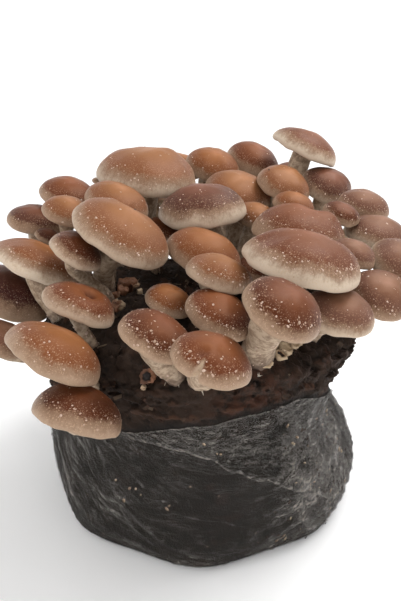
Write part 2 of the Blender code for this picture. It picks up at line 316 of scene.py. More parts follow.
# How cloudy the film is below the block, and how its cut rim curls outwards and turns white at its very edge,
# by the share of the way up
FLOOR_CLOUD = 0.3
RIM_CURLS = 0.9
CURLS_FROM = ((0.94, 0), (1, 1))
RIM_CLOUD = 1.1
CLOUDS_FROM = ((0.986, 0), (1, 1))
bag = ball("bag_film", BAG_SIDES, FLOOR_ROWS + BAG_ROWS)
clouds = []
top = []
for vertex in bag.data.vertices:
    level = ring_of(vertex.co, FLOOR_ROWS + BAG_ROWS + 1)
    bearing = bearing_of(vertex.co)
    if level <= FLOOR_ROWS:
        vertex.co = around_block(bearing, (wall(bearing, 0) - LIES_IN) * level / FLOOR_ROWS, BAG_FLOOR)
        cloud = FLOOR_CLOUD
    else:
        ragged = 0.7 * noise.noise(Vector((bearing / 2.5, 0, 0)))
        ragged += 0.5 * noise.noise(Vector((bearing / 0.8, 3, 0)))
        edge = rim(bearing) + ragged
        share = min(1, (level - FLOOR_ROWS) / BAG_ROWS)
        curled = RIM_CURLS * between(CURLS_FROM, share)
        vertex.co, cloud = film_wall(bearing, edge * share, curled)
        cloud += RIM_CLOUD * between(CLOUDS_FROM, share)
    if level > FLOOR_ROWS + BAG_ROWS:
        top.append(vertex.index)
    clouds.append(cloud)
keep(bag.data, "cloud", clouds)
opened = bmesh.new()
opened.from_mesh(bag.data)
opened.verts.ensure_lookup_table()
bmesh.ops.delete(opened, geom=[opened.verts[index] for index in top], context="VERTS")
opened.to_mesh(bag.data)
opened.free()


def finished_film(piece):
    """Gives an open sheet of film its thickness, inwards, and shades it smooth."""
    bpy.ops.object.select_all(action="DESELECT")
    bpy.context.view_layer.objects.active = piece
    piece.select_set(True)
    thick = piece.modifiers.new("film thickness", "SOLIDIFY")
    thick.thickness = FILM_THICK * MM
    thick.offset = -1
    bpy.ops.object.modifier_apply(modifier=thick.name)
    bpy.ops.object.shade_smooth()
    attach(piece, "root")


finished_film(bag)
keep_drapes(bag)
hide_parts("bag")

# The folded top: a second layer of the film from the rim down to a long slanting fold, given by bearings and
# heights. It stands off the bag, most at the fold, where it is also whitest
FLAP = (
    (-28, 76),
    (-15, 74.5),
    (-6, 72),
    (2, 68),
    (10, 60),
    (18, 53),
    (33, 40),
    (47, 25),
    (58, 26),
    (66, 46),
    (72, 68),
)
FLAP_SIDES = 240
FLAP_ROWS = 36
FLAP_LIFT = 0.8
FOLD_STANDS = ((0, 1.5), (0.12, 1))
FOLD_TALL = 1.2
FOLD_CLOUD = ((2, 1.3), (20, 0.7))
FLAP_CLOUD = ((-10, 0.55), (35, 0.9))
FLAP_BELOW_RIM = 0.4
FLAP_OVER_RIM = 0.3
bpy.ops.object.select_all(action="DESELECT")
bpy.ops.mesh.primitive_grid_add(x_subdivisions=FLAP_SIDES, y_subdivisions=FLAP_ROWS, size=1)
flap = bpy.context.object
flap.name = "bag_folded_top"
clouds = []
for vertex in flap.data.vertices:
    bearing = FLAP[0][0] + (vertex.co.x + 0.5) * (FLAP[-1][0] - FLAP[0][0])
    share = vertex.co.y + 0.5
    low = min(between(FLAP, bearing), rim(bearing) - FLAP_BELOW_RIM)
    height = low + (rim(bearing) + FLAP_OVER_RIM - low) * share
    lift = FLAP_LIFT * between(FOLD_STANDS, share)
    vertex.co, cloud = film_wall(bearing, height, lift)
    fold = math.exp(-(((height - low) / FOLD_TALL) ** 2)) * between(FOLD_CLOUD, bearing)
    clouds.append(cloud * between(FLAP_CLOUD, bearing) + fold)
keep(flap.data, "cloud", clouds)
finished_film(flap)
keep_drapes(flap)


def linear(colour):
    """An sRGB hex colour as the linear numbers that a socket takes."""
    values = [int(colour[place : place + 2], 16) / 255 for place in (1, 3, 5)]
    values = [value / 12.92 if value <= 0.04045 else ((value + 0.055) / 1.055) ** 2.4 for value in values]
    return (*values, 1)


def add(tree, kind, links=None, output=0, **settings):
    """An output of a new shader node, which is given its settings and has its sockets set or linked."""
    made = tree.nodes.new("ShaderNode" + kind)
    for name, value in settings.items():
        setattr(made, name, value)
    for socket, value in (links or {}).items():
        if isinstance(value, bpy.types.NodeSocket):
            tree.links.new(value, made.inputs[socket])
        else:
            made.inputs[socket].default_value = value
    return made.outputs[output]


# What lets a MapRange node ease a value from 0 to 1 between two others
EASED = {"interpolation_type": "SMOOTHSTEP"}


def new_material(name, roughness):
    """A new material, its nodes and its shader."""
    made = bpy.data.materials.new(name)
    made.use_nodes = True
    shader = made.node_tree.nodes["Principled BSDF"]
    shader.inputs["Roughness"].default_value = roughness
    return made, made.node_tree, shader


# Polyethylene film, 0.05 mm thick in truth: colourless, so it shows the dark block, but clouded white with
# fine scratches and spores where it creased. It is drawn as grey haze: bands along its folds, thin bright
# creases where it was bent, and a fibrous grain where it was rubbed. The haze is partly that clouding and
# partly painted sheen, standing in for the film's highlights where its folds catch the light.
film, tree, shader = new_material("polyethylene film, clouded", 0.3)
place = add(tree, "TexCoord", output="Object")
drape = add(tree, "Attribute", output="Vector", attribute_name="drape")
cloud = add(tree, "Attribute", output="Fac", attribute_name="cloud")
bands_at = add(tree, "Mapping", {"Vector": drape, "Scale": (1 / 30, 1 / 4, 1 / 30)})
bands = add(tree, "TexNoise", {"Vector": bands_at, "Scale": 1, "Detail": 5, "Roughness": 0.6})
banded = add(tree, "MapRange", {"Value": bands, "From Min": 0.42, "From Max": 0.75}, **EASED)
bends_at = add(tree, "Mapping", {"Vector": drape, "Scale": (1 / 34, 1 / 11, 1 / 34)})
bends = add(tree, "TexNoise", {"Vector": bends_at, "Scale": 1, "Detail": 2, "Distortion": 0.8})
from_bend = add(tree, "Math", {0: bends, 1: 0.5}, operation="SUBTRACT")
from_bend = add(tree, "Math", {0: from_bend}, operation="ABSOLUTE")
bent = add(tree, "MapRange", {"Value": from_bend, "From Min": 0.012, "From Max": 0}, **EASED)
grain_at = add(tree, "Mapping", {"Vector": drape, "Scale": (1 / 3.4, 1 / 1.3, 1 / 3)})
rubbed = {"Vector": grain_at, "Scale": 1, "Detail": 6, "Roughness": 0.7, "Distortion": 1}
grain = add(tree, "TexNoise", rubbed)
grainy = add(tree, "MapRange", {"Value": grain, "From Min": 0.5, "From Max": 0.68}, **EASED)
scuff = add(tree, "TexNoise", {"Vector": place, "Scale": PER_MM / 14, "Detail": 4, "Roughness": 0.6})
scuffed = add(tree, "MapRange", {"Value": scuff, "From Min": 0.25, "From Max": 0.75}, **EASED)
# The haze: clouding of the film, and painted sheen in place of its highlights
haze_and_painted_sheen = add(tree, "Math", {0: banded, 1: 0.75, 2: 0.12}, operation="MULTIPLY_ADD")
haze_and_painted_sheen = add(tree, "Math", {0: grainy, 1: 0.95, 2: haze_and_painted_sheen}, operation="MULTIPLY_ADD")
haze_and_painted_sheen = add(tree, "Math", {0: haze_and_painted_sheen, 1: scuffed}, operation="MULTIPLY")
haze_and_painted_sheen = add(tree, "Math", {0: bent, 1: 0.55, 2: haze_and_painted_sheen}, operation="MULTIPLY_ADD")
haze_and_painted_sheen = add(tree, "Math", {0: haze_and_painted_sheen, 1: cloud}, operation="MULTIPLY")
whole = add(tree, "MapRange", {"Value": cloud, "From Min": 0.5, "From Max": 1.6}, **EASED)
whole = add(tree, "Math", {0: whole, 1: 0.3}, operation="MULTIPLY")
haze_and_painted_sheen = add(tree, "Math", {0: haze_and_painted_sheen, 1: whole}, operation="ADD")
haze_to_alpha = {"Value": haze_and_painted_sheen, "From Min": 0.01, "From Max": 0.75, "To Min": 0.0, "To Max": 0.75}
tree.links.new(add(tree, "MapRange", haze_to_alpha), shader.inputs["Alpha"])
shader.inputs["Specular IOR Level"].default_value = 0.15
greyer = add(tree, "MapRange", {"Value": grain, "From Min": 0.35, "From Max": 0.7}, **EASED)
greys = {0: greyer, 6: linear("#444240"), 7: linear("#928B84")}
tree.links.new(add(tree, "Mix", greys, 2, data_type="RGBA"), shader.inputs["Base Color"])
folded = add(tree, "Math", {0: grain, 1: 0.5, 2: bands}, operation="MULTIPLY_ADD")
bump = add(tree, "Bump", {"Strength": 0.7, "Distance": 0.35 * MM, "Height": folded})
tree.links.new(bump, shader.inputs["Normal"])
bag.data.materials.append(film)
flap.data.materials.append(film)


# Substrate block
# A squat round log of moist oak sawdust, pressed and grown through until it holds together. Above the bag it
# is bare: nearly black, rough with pressed chips and splinters, with a few pale threads of mycelium.

# Rings of the block's outline, as shares of its wall's radius and heights: its floor, the wall in the bag,
# the bare wall and the top, closer together where it shows. In the bag it lies this far inside the film
BLOCK_SIDES = 360
INSET = 0.6
FLOOR = 1.1
SHOWS_FROM = 64
FLOOR_STEPS = 5
BAG_STEPS = 24
BARE_STEPS = 30
TOP_STEPS = (6, 9, 20, 18)
outline = [(step / FLOOR_STEPS, FLOOR) for step in range(1, FLOOR_STEPS + 1)]
outline += [(1, FLOOR + (SHOWS_FROM - FLOOR) * step / BAG_STEPS) for step in range(1, BAG_STEPS + 1)]
BARE_RINGS = ((1, SHOWS_FROM), *TOP_RINGS)
for (near, low), (share, high), steps in zip(BARE_RINGS, BARE_RINGS[1:], (BARE_STEPS, *TOP_STEPS)):
    for step in range(1, steps + 1):
        outline.append((near + (share - near) * step / steps, low + (high - low) * step / steps))

# Chips in the face: how long, thick and proud they are in millimetres, how wide the cracks between them are
# against a chip, and the factor that gives each chip random numbers of its own
CHIP_LONG = 8
CHIP_THICK = 4
CHIP_STANDS = 2
CRACK = 0.2
CHIP_KEY = 17


def chipped(place):
    """How far a face of pressed chips stands out at a place in millimetres, and the chip's own shade.

    Each chip lies a little higher or lower than the next and is tilted, with finer grit and cracks over it.
    """
    grain = Vector((place.x / CHIP_LONG, place.y / CHIP_LONG, place.z / CHIP_THICK))
    distances, homes = noise.voronoi(grain)
    key = homes[0] * CHIP_KEY
    shade = noise.cell(key)
    tilt = (noise.cell_vector(key) - Vector((0.5, 0.5, 0.5))).dot(grain - homes[0])
    crack = max(0, 1 - (distances[1] - distances[0]) / CRACK)
    small = noise.noise(place / 3) * 0.6 + noise.noise(place / 1.4) * 0.35
    return (shade - 0.5) * 0.8 + tilt * 1.6 + small - crack * 0.8, shade


# The right of the bare face is torn, not pressed: long ragged ridges that slant down to the left
TORN_DEEP = 2.6
TORN_AWAY = Swell(-6, 66, 84, 16, 11)
TORN_ROUND = ((14, 0), (34, 1), (80, 1), (105, 0))
TORN_ABOVE = ((84, 0), (92, 1))


def torn_share(bearing, height):
    """How torn the face is at a bearing and height, from 0 to 1."""
    return between(TORN_ROUND, bearing) * between(TORN_ABOVE, height)


def torn_ridge(bearing, height):
    """How far a ridge of the torn face stands out, from about 1 on its crest downwards."""
    across = along_wall(bearing)
    ridge = noise.noise(Vector((across / 5 + height / 14, height / 22, 2)))
    finer = noise.noise(Vector((across / 2 + height / 6, height / 10, 8)))
    return 1 - 3 * abs(ridge) + 0.5 * finer


def outwards(piece):
    """Turns a closed piece's faces the right way out and shades it smooth."""
    bpy.ops.object.select_all(action="DESELECT")
    bpy.context.view_layer.objects.active = piece
    piece.select_set(True)
    bpy.ops.object.mode_set(mode="EDIT")
    bpy.ops.mesh.select_all(action="SELECT")
    bpy.ops.mesh.normals_make_consistent(inside=False)
    bpy.ops.object.mode_set(mode="OBJECT")
    bpy.ops.object.shade_smooth()


# The film covers the block up to its rim and presses it smooth. A few millimetres higher the block is bare
# and rough, and above its wall its chips stand more and more upwards
BARE_BY = 5
ROUGH_BY = 6
SMOOTHED = 0.12
TURNS_FROM = 88
TURNS_BY = 4
block = ball("substrate_block_bare", BLOCK_SIDES, len(outline) - 1)
shades = []
torn = []
coverings = []
streaks = []
for vertex in block.data.vertices:
    level = ring_of(vertex.co, len(outline))
    share, height = outline[max(0, level - 1)] if level else (0, FLOOR)
    bearing = bearing_of(vertex.co)
    edge = rim(bearing)
    radius = wall(bearing, min(height, SHOULDER)) * share
    covered = 1 - between(((edge, 0), (edge + BARE_BY, 1)), height)
    if covered and share == 1:
        radius += covered * (film_stands(bearing, height)[0] - INSET)
    radius += (1 - covered) * TORN_AWAY.out * nearness(TORN_AWAY, bearing, height)
    place = around_block(bearing, radius, height) / MM
    stands, shade = chipped(place)
    rough = ((edge, SMOOTHED), (edge + ROUGH_BY, CHIP_STANDS))
    depth = between(rough, height) if height > FLOOR else 0
    torn_here = torn_share(bearing, height)
    stands += torn_here * TORN_DEEP / CHIP_STANDS * torn_ridge(bearing, height)
    out = Vector((place.x, place.y, max(0, (height - TURNS_FROM) * TURNS_BY))).normalized()
    vertex.co = (place + out * stands * depth) * MM
    shades.append(shade)
    torn.append(torn_here)
    coverings.append(covered)
    across = along_wall(bearing)
    streaks += [across / 2.2 + place.z / 7, place.z / 14, 0]
keep(block.data, "shade", shades)
keep(block.data, "torn", torn)
keep(block.data, "covered", coverings)
keep(block.data, "streak", streaks, "vector")
outwards(block)
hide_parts("substrate_block")
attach(block, "root")

# The block's outline from the middle of its top, over the shoulder and down its side, for what grows on it
OVER_EDGE = ((0, BLOCK_MIDDLE), (36, 123), (71, BLOCK_TOP), (86, 114), (91, SHOULDER), (90, 84), (89, 70))


def on_block(bearing, along):
    """The place on the block this far along its outline from the middle of its top, and the way out of it."""
    gone = 0
    for (near, high), (reach, height) in zip(OVER_EDGE, OVER_EDGE[1:]):
        step = Vector((reach - near, height - high))
        if along <= gone + step.length or reach == OVER_EDGE[-1][0]:
            place = Vector((near, high)) + step * (along - gone) / step.length
            out = Vector((-step.y, step.x)).normalized()
            return around_block(bearing, place.x, place.y), around_block(bearing, out.x, out.y).normalized()
        gone += step.length


# Splinters and flakes of bark stand up out of the bare face, a few of them bleached: how many, their sizes in
# millimetres, how far above the film's rim they begin, and how far each corner is blunted or drawn out
SPLINTERS = 1100
SPLINTER_LONG = (1.5, 6)
SPLINTER_WIDE = (0.5, 2)
SPLINTER_THICK = 0.5
SPLINTERS_ABOVE = 4
BLUNTED = 0.4
chance = random.Random(7)
bare = []
for vertex in block.data.vertices:
    bearing = bearing_of(vertex.co)
    if vertex.co.z / MM > rim(bearing) + SPLINTERS_ABOVE:
        bare.append((vertex.co.copy(), vertex.normal.copy()))


def on_end(out):
    """Two ways across a direction, turned at random round it."""
    across = out.orthogonal().normalized()
    across.rotate(Quaternion(out, chance.uniform(0, math.tau)))
    return across, out.cross(across)


def anywhere(most):
    """A random step, up to that far each way along all three axes."""
    return Vector([chance.uniform(-most, most) for _ in range(3)])


def frame_at(place, across, ahead, out, sizes):
    """The matrix that puts a unit shape at a place, along three ways and at three sizes."""
    turned = Matrix((across * sizes[0], ahead * sizes[1], out * sizes[2])).transposed().to_4x4()
    return Matrix.Translation(place) @ turned


chips = bmesh.new()
bleached = chips.verts.layers.float.new("bleached")
for number in range(SPLINTERS):
    place, out = chance.choice(bare)
    across, ahead = on_end(out)
    lean = (out * chance.uniform(0, 0.6) + across).normalized()
    ahead = lean.cross(out).normalized()
    long = chance.uniform(*SPLINTER_LONG) * chance.uniform(0.4, 1)
    sizes = (long * MM, chance.uniform(*SPLINTER_WIDE) * MM, SPLINTER_THICK * chance.uniform(0.6, 1.6) * MM)
    at = frame_at(place, lean, ahead, lean.cross(ahead), sizes)
    made = bmesh.ops.create_cube(chips, size=1, matrix=at)["verts"]
    pale = 0.8 * chance.random() ** 12
    for vertex in made:
        vertex[bleached] = pale
        vertex.co += anywhere(BLUNTED) * MM
mesh = bpy.data.meshes.new("block_splinters")
chips.to_mesh(mesh)
chips.free()
splinters = bpy.data.objects.new("block_splinters", mesh)
bpy.context.scene.collection.objects.link(splinters)
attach(splinters, "root")

# Spent sawdust: damp, nearly black-brown, each chip a little lighter or darker, redder above the front of the
# bag, with threads of mycelium, grey-pink fibres where the face is torn, painted shade in its pits, and
# neutral and dark below the film.
substrate, tree, shader = new_material("spent oak sawdust, damp", 0.8)
place = add(tree, "TexCoord", output="Object")
shade = add(tree, "Attribute", output="Fac", attribute_name="shade")
ragged = add(tree, "Attribute", output="Fac", attribute_name="torn")
streak = add(tree, "Attribute", output="Vector", attribute_name="streak")
covered = add(tree, "Attribute", output="Fac", attribute_name="covered")
patch = add(tree, "TexNoise", {"Vector": place, "Scale": PER_MM / 26, "Detail": 3})
grit = add(tree, "TexNoise", {"Vector": place, "Scale": PER_MM / 1.2, "Detail": 4, "Roughness": 0.7})
thread = add(tree, "TexNoise", {"Vector": place, "Scale": PER_MM / 7, "Detail": 6, "Roughness": 0.75})
fibre = add(tree, "TexNoise", {"Vector": streak, "Scale": 1, "Detail": 5, "Roughness": 0.65})
paler_chip = add(tree, "MapRange", {"Value": shade, "From Min": 0.3, "From Max": 1}, **EASED)
paler_patch = add(tree, "MapRange", {"Value": patch, "From Min": 0.35, "From Max": 0.65}, **EASED)
browner = add(tree, "Math", {0: paler_chip, 1: paler_patch}, operation="MULTIPLY")
REDDEST = (0.026, -0.088, 0.096)
from_red = add(tree, "VectorMath", {0: place, 1: REDDEST}, 1, operation="DISTANCE")
near_red = add(tree, "MapRange", {"Value": from_red, "From Min": 0.03, "From Max": 0.008}, **EASED)
red_threads = add(tree, "MapRange", {"Value": thread, "From Min": 0.4, "From Max": 0.6}, **EASED)
redder = add(tree, "Math", {0: near_red, 1: red_threads}, operation="MULTIPLY")
redder = add(tree, "Math", {0: redder, 1: 0.7}, operation="MULTIPLY")
gritty = add(tree, "MapRange", {"Value": grit, "From Min": 0.55, "From Max": 0.8}, **EASED)
# Painted shade: nearly black pits among the pressed chips
painted_pit_shade = add(tree, "MapRange", {"Value": thread, "From Min": 0.5, "From Max": 0.36}, **EASED)
painted_pit_shade = add(tree, "Math", {0: painted_pit_shade, 1: 0.7}, operation="MULTIPLY")
fibrous = add(tree, "MapRange", {"Value": fibre, "From Min": 0.5, "From Max": 0.68}, **EASED)
fibrous = add(tree, "Math", {0: fibrous, 1: ragged}, operation="MULTIPLY")
pinkish = add(tree, "Math", {0: fibrous, 1: 0.75}, operation="MULTIPLY")
whitest = add(tree, "MapRange", {"Value": fibre, "From Min": 0.66, "From Max": 0.76}, **EASED)
whitest = add(tree, "Math", {0: whitest, 1: ragged}, operation="MULTIPLY")
threaded = add(tree, "MapRange", {"Value": thread, "From Min": 0.67, "From Max": 0.77}, **EASED)
darkened = add(tree, "Math", {0: covered, 1: 0.8}, operation="MULTIPLY")
colour = linear("#2E221A")
for share, tone in (
    (browner, "#4B3224"),
    (redder, "#452719"),
    (gritty, "#46362A"),
    (painted_pit_shade, "#120D0A"),
    (pinkish, "#6E5C54"),
    (whitest, "#A59488"),
    (threaded, "#7C6C5C"),
    (darkened, "#1A1917"),
):
    colour = add(tree, "Mix", {0: share, 6: colour, 7: linear(tone)}, 2, data_type="RGBA")
tree.links.new(colour, shader.inputs["Base Color"])
shader.inputs["Specular IOR Level"].default_value = 0.2
relief = add(tree, "Math", {0: fibrous, 1: 3, 2: grit}, operation="MULTIPLY_ADD")
bump = add(tree, "Bump", {"Strength": 0.9, "Distance": 0.8 * MM, "Height": relief})
tree.links.new(bump, shader.inputs["Normal"])
block.data.materials.append(substrate)

# Splinters and bark: the same sawdust in bigger pieces, brown where broken and grey-white where bleached
bark, tree, shader = new_material("oak splinters, damp", 0.75)
place = add(tree, "TexCoord", output="Object")
pale = add(tree, "Attribute", output="Fac", attribute_name="bleached")
grain = add(tree, "TexNoise", {"Vector": place, "Scale": PER_MM / 2, "Detail": 4})
browner = add(tree, "MapRange", {"Value": grain, "From Min": 0.3, "From Max": 0.7}, **EASED)
colour = linear("#1D1511")
for share, tone in ((browner, "#3E291D"), (pale, "#97846E")):
    colour = add(tree, "Mix", {0: share, 6: colour, 7: linear(tone)}, 2, data_type="RGBA")
tree.links.new(colour, shader.inputs["Base Color"])
bump = add(tree, "Bump", {"Strength": 0.6, "Distance": 0.3 * MM, "Height": grain})
tree.links.new(bump, shader.inputs["Normal"])
shader.inputs["Specular IOR Level"].default_value = 0.2
splinters.data.materials.append(bark)


# Mushrooms
# Shiitake, each grown as one piece: a domed cap whose margin rolls in under its edge, pale gills below, and a
# tough bent stem that comes out of the block. The caps are browned on top, pale at the margin and scaly.

# The cap's outline from beside the middle of its top round its lip, and the gills' from there to the stem, at
# a radius of 1, with the sizes of its unevenness
CAP_SIDES = 96
CAP_RINGS = (
    (0.1, 0.718),
    (0.2, 0.708),
    (0.3, 0.69),
    (0.4, 0.668),
    (0.5, 0.635),
    (0.6, 0.592),
    (0.69, 0.54),
    (0.77, 0.482),
    (0.84, 0.415),
    (0.9, 0.34),
    (0.945, 0.26),
    (0.975, 0.18),
    (0.99, 0.1),
    (0.985, 0.04),
    (0.96, 0.0),
    (0.92, -0.02),
    (0.87, -0.01),
    (0.84, 0.04),
)
GILL_RINGS = ((0.8, 0.1), (0.7, 0.15), (0.55, 0.18), (0.4, 0.19), (0.25, 0.18))
GILL_DEEP = 0.05
LIP_RING = 14
CAP_TOP = 0.72
CAP_MIDDLE = 0.26
OVAL = 0.025
LOBED = 0.015

# The stem: it leaves the cap along its axis, bends and meets the block steeply from outside, a little sunk in
STEM_SIDES = 20
STEM_ROWS = 18
STEM_FROM = -2
STEM_TOP = 0.15
STEM_WIDTHS = ((0, 1.25), (0.5, 0.95), (1, 1.1))
STEM_SINK = 5 * MM
KEEPS = 0.4
TURNS_UP = 0.3
STEEPNESS = 0.8
LEAST_RISE = 0.4
SHORTEST_STEM = 18 * MM

FOOT_ALONG = ((0, 0), (20, 18), (40, 36), (60, 54), (85, 76), (125, 104))

# How far along its outline each ring of the cap lies, from 0 at the middle of the top to 1 at the lip
rings = ((0, CAP_TOP), *CAP_RINGS, *GILL_RINGS)
walk = [0]
for (near, high), (out, up) in zip(rings, rings[1:]):
    walk.append(walk[-1] + math.hypot(out - near, up - high))
MARGINS = [length / walk[LIP_RING + 1] for length in walk]


def drawn_up(name, sides, start, rest):
    """A surface of rings, each extruded from the last at its radius and height, closed at its last one."""
    bpy.ops.object.select_all(action="DESELECT")
    first, low = start
    bpy.ops.mesh.primitive_circle_add(vertices=sides, radius=first, fill_type="TRIFAN", location=(0, 0, low))
    piece = bpy.context.object
    piece.name = name
    bpy.ops.object.transform_apply(location=True, rotation=False, scale=False)
    bpy.ops.object.mode_set(mode="EDIT")
    bpy.ops.mesh.select_mode(type="EDGE")
    bpy.ops.mesh.select_all(action="DESELECT")
    bpy.ops.mesh.select_non_manifold()
    for (near, low), (out, up) in zip((start, *rest), rest):
        bpy.ops.mesh.extrude_edges_move(TRANSFORM_OT_translate={"value": (0, 0, up - low)})
        bpy.ops.transform.resize(value=(out / near, out / near, 1), center_override=(0, 0, up))
    bpy.ops.mesh.extrude_edges_move()
    bpy.ops.mesh.merge(type="CENTER")
    bpy.ops.mesh.select_all(action="SELECT")
    bpy.ops.mesh.normals_make_consistent(inside=False)
    bpy.ops.object.mode_set(mode="OBJECT")
    return piece


# One cap and one stem are drawn, at a radius of 1, and every mushroom is a copy that is grown to its own form
pattern = drawn_up("mushroom_pattern", CAP_SIDES, CAP_RINGS[0], (*CAP_RINGS[1:], *GILL_RINGS))
stem_rings = [(1, STEM_FROM - row / STEM_ROWS) for row in range(STEM_ROWS + 1)]
drawn_up("stem_pattern", STEM_SIDES, stem_rings[0], stem_rings[1:])
bpy.context.view_layer.objects.active = pattern
pattern.select_set(True)
bpy.ops.object.join()
pattern.data.materials.clear()

margins = []
shares = []
for vertex in pattern.data.vertices:
    out = vertex.co.xy.length
    if vertex.co.z < STEM_FROM / 2:
        margins.append(0)
        shares.append(min(1, max(0, STEM_FROM - vertex.co.z)))
        continue
    nearest = min(range(len(rings)), key=lambda ring: math.dist(rings[ring], (out, vertex.co.z)))
    if out < 0.01 and vertex.co.z < CAP_TOP / 2:
        nearest = len(rings) - 1
    margins.append(MARGINS[nearest])
    shares.append(-1)
keep(pattern.data, "margin", margins)
keep(pattern.data, "along_stem", shares)
GILLS_FROM = MARGINS[len(CAP_RINGS)] + 0.001
CAP_SKIN, GILL, STEM_SKIN, SCALE, HOLE_SHADE_KIND = range(5)
for polygon in pattern.data.polygons:
    if shares[polygon.vertices[0]] >= 0:
        polygon.material_index = STEM_SKIN
    elif max(margins[index] for index in polygon.vertices) > GILLS_FROM:
        polygon.material_index = GILL
    else:
        polygon.material_index = CAP_SKIN
still = [vertex.co.copy() for vertex in pattern.data.vertices]

# Colourings of the caps, each by its brown in the middle and its darker brown towards the edge
Look = namedtuple("Look", "crown edge")
LOOKS = {
    "golden": Look("#88542D", "#6B3C1F"),
    "orange": Look("#774425", "#5C2E17"),
    "tan": Look("#8B5B36", "#704429"),
    "brown": Look("#754326", "#5B301C"),
    "red_brown": Look("#65361C", "#4A2414"),
    "chocolate": Look("#6A402E", "#4A2B22"),
    "maroon": Look("#502E22", "#3C2120"),
    "mauve": Look("#78533E", "#5F3E31"),
    "cream": Look("#947C64", "#7B614D"),
}

# Each mushroom that shows from the front: the pixel its cap is centred on, its distance in millimetres, the
# cap's width in millimetres, the degrees that its long axis falls to the right, the degrees between its axis
# and the line of sight, its colouring, how scaly it is, its foot where that isn't straight below the cap, how
# high it is domed where that isn't as usual, and how thick its stem is against the cap where it shows
STEM_SHARE = 0.23
FIELDS = "name across down away cap slope facing look flecks foot flat stem"
Shoot = namedtuple("Shoot", FIELDS, defaults=[None, 1, STEM_SHARE])
SHOOTS = (
    Shoot("front_1", 285, 306, 195, 32.7, 35, 60, "red_brown", 1.0, (19, 82), stem=0.42),
    Shoot("front_2", 213, 356, 190, 31, 22, 62, "orange", 1.0, (0, 93), stem=0.34),
    Shoot("front_3", 158, 333, 206, 30.5, 25, 62, "red_brown", 1.5, (-8, 91), stem=0.34),
    Shoot("front_4", 221, 312, 228, 32.2, 26, 63, "orange", 1.0),
    Shoot("front_5", 170, 299, 254, 25.5, 20, 63, "golden", 0.4),
    Shoot("front_6", 340, 309, 228, 33, 20, 60, "mauve", 0.5, (42, 80), flat=0.94),
    Shoot("front_7", 305, 257, 234, 53, 18, 76, "brown", 1.4, flat=0.9),
    Shoot("front_8", 221, 272, 240, 32.4, 20, 74, "tan", 1.0),
    Shoot("front_9", 206, 250.5, 270, 40.4, 22, 66, "golden", 0.3, (12, 38)),
    Shoot("front_10", 252, 268, 279, 19.5, 20, 66, "red_brown", 0.2),
    Shoot("left_1", 57, 350, 214, 42, 28, 74, "golden", 0.5, (-38, 93), flat=0.93),
    Shoot("left_2", 80, 408, 212, 38, 18, 75, "red_brown", 0.8, (-34, 106)),
    Shoot("left_3", 81, 302, 234, 34.5, 24, 72, "orange", 0.5, (-38, 85), flat=0.9, stem=0.18),
    Shoot("left_4", 41, 262, 269, 49, 22, 80, "golden", 0.5, (-69, 82), flat=0.8),
    Shoot("left_5", 124, 229, 253, 49.5, 28, 66, "tan", 0.8, (-80, 56), flat=0.85),
    Shoot("left_6", 12, 290, 286, 47.9, 18, 68, "maroon", 0.1, (-98, 100), flat=1.06),
    Shoot("left_7", 2, 337, 250, 29, 25, 65, "mauve", 0.3),
    Shoot("left_8", 78, 249, 247, 27.3, 30, 68, "red_brown", 0.2, (-65, 55)),
    Shoot("left_9", 68, 210, 284, 27.5, 15, 64, "tan", 0.3, (-95, 66)),
    Shoot("left_10", 69, 192, 312, 34.5, 10, 70, "brown", 0.2),
    Shoot("left_11", 37, 219, 306, 33, 9, 70, "chocolate", 0.2, (-104, 92)),
    Shoot("left_12", 49, 236, 289, 15, 20, 66, "chocolate", 0.1),
    Shoot("left_13", 118, 200, 289, 36.6, 15, 68, "tan", 0.2),
    Shoot("right_1", 403, 262, 268, 35.7, 36, 60, "mauve", 0.3, (65, 84)),
    Shoot("right_2", 382, 292, 246, 31.5, 33, 54, "mauve", 0.9),
    Shoot("right_3", 378, 232, 296, 36, 20, 72, "mauve", 0.8),
    Shoot("right_4", 364, 203, 319, 31.7, 20, 70, "mauve", 0.9),
    Shoot("right_5", 354, 252, 258, 23, 25, 66, "mauve", 0.2),
    Shoot("right_6", 342.5, 212.5, 291, 21.5, 25, 68, "red_brown", 0.4),
    Shoot("crown_1", 299, 228, 281, 51.2, 15, 78, "brown", 1.2),
    Shoot("crown_2", 202, 205, 301, 51.5, -4, 75, "chocolate", 1.2, (110, 14), stem=0.32),
    Shoot("crown_3", 149, 170, 327.5, 63, 7, 75, "tan", 0.6, flat=0.94),
    Shoot("crown_4", 181, 165, 380, 34, 12, 72, "tan", 0.2, (182, 74)),
    Shoot("crown_5", 213.5, 163.5, 366, 38.6, 14, 62, "golden", 0.3, (185, 58), stem=0.3),
    Shoot("crown_6", 254.5, 158.5, 386, 40.5, 22, 66, "brown", 0.2, (168, 80)),
    Shoot("crown_7", 307, 145, 356, 47, 27, 86, "brown", 0.3, (135, 94), flat=0.87),
    Shoot("crown_8", 285, 182.5, 333, 37, 26, 66, "tan", 0.2, (130, 60)),
    Shoot("crown_9", 328, 184, 348.5, 36.2, 29, 62, "chocolate", 0.3, (118, 76)),
    Shoot("crown_10", 239.5, 189.5, 340, 45.5, 18, 66, "tan", 0.2, (150, 52), flat=0.93, stem=0.3),
    Shoot("crown_11", 294.5, 203, 309, 25.4, 20, 70, "golden", 0.1),
    Shoot("crown_12", 257, 215, 314, 27, 18, 64, "tan", 0.8, (118, 26), stem=0.36),
    Shoot("crown_13", 99, 181, 335, 9, 10, 75, "cream", 0),
    Shoot("crown_14", 291, 172, 394, 26.5, 15, 70, "chocolate", 0.2, (141, 84)),
    Shoot("crown_15", 165, 229, 315, 26, 20, 66, "brown", 0.2),
)

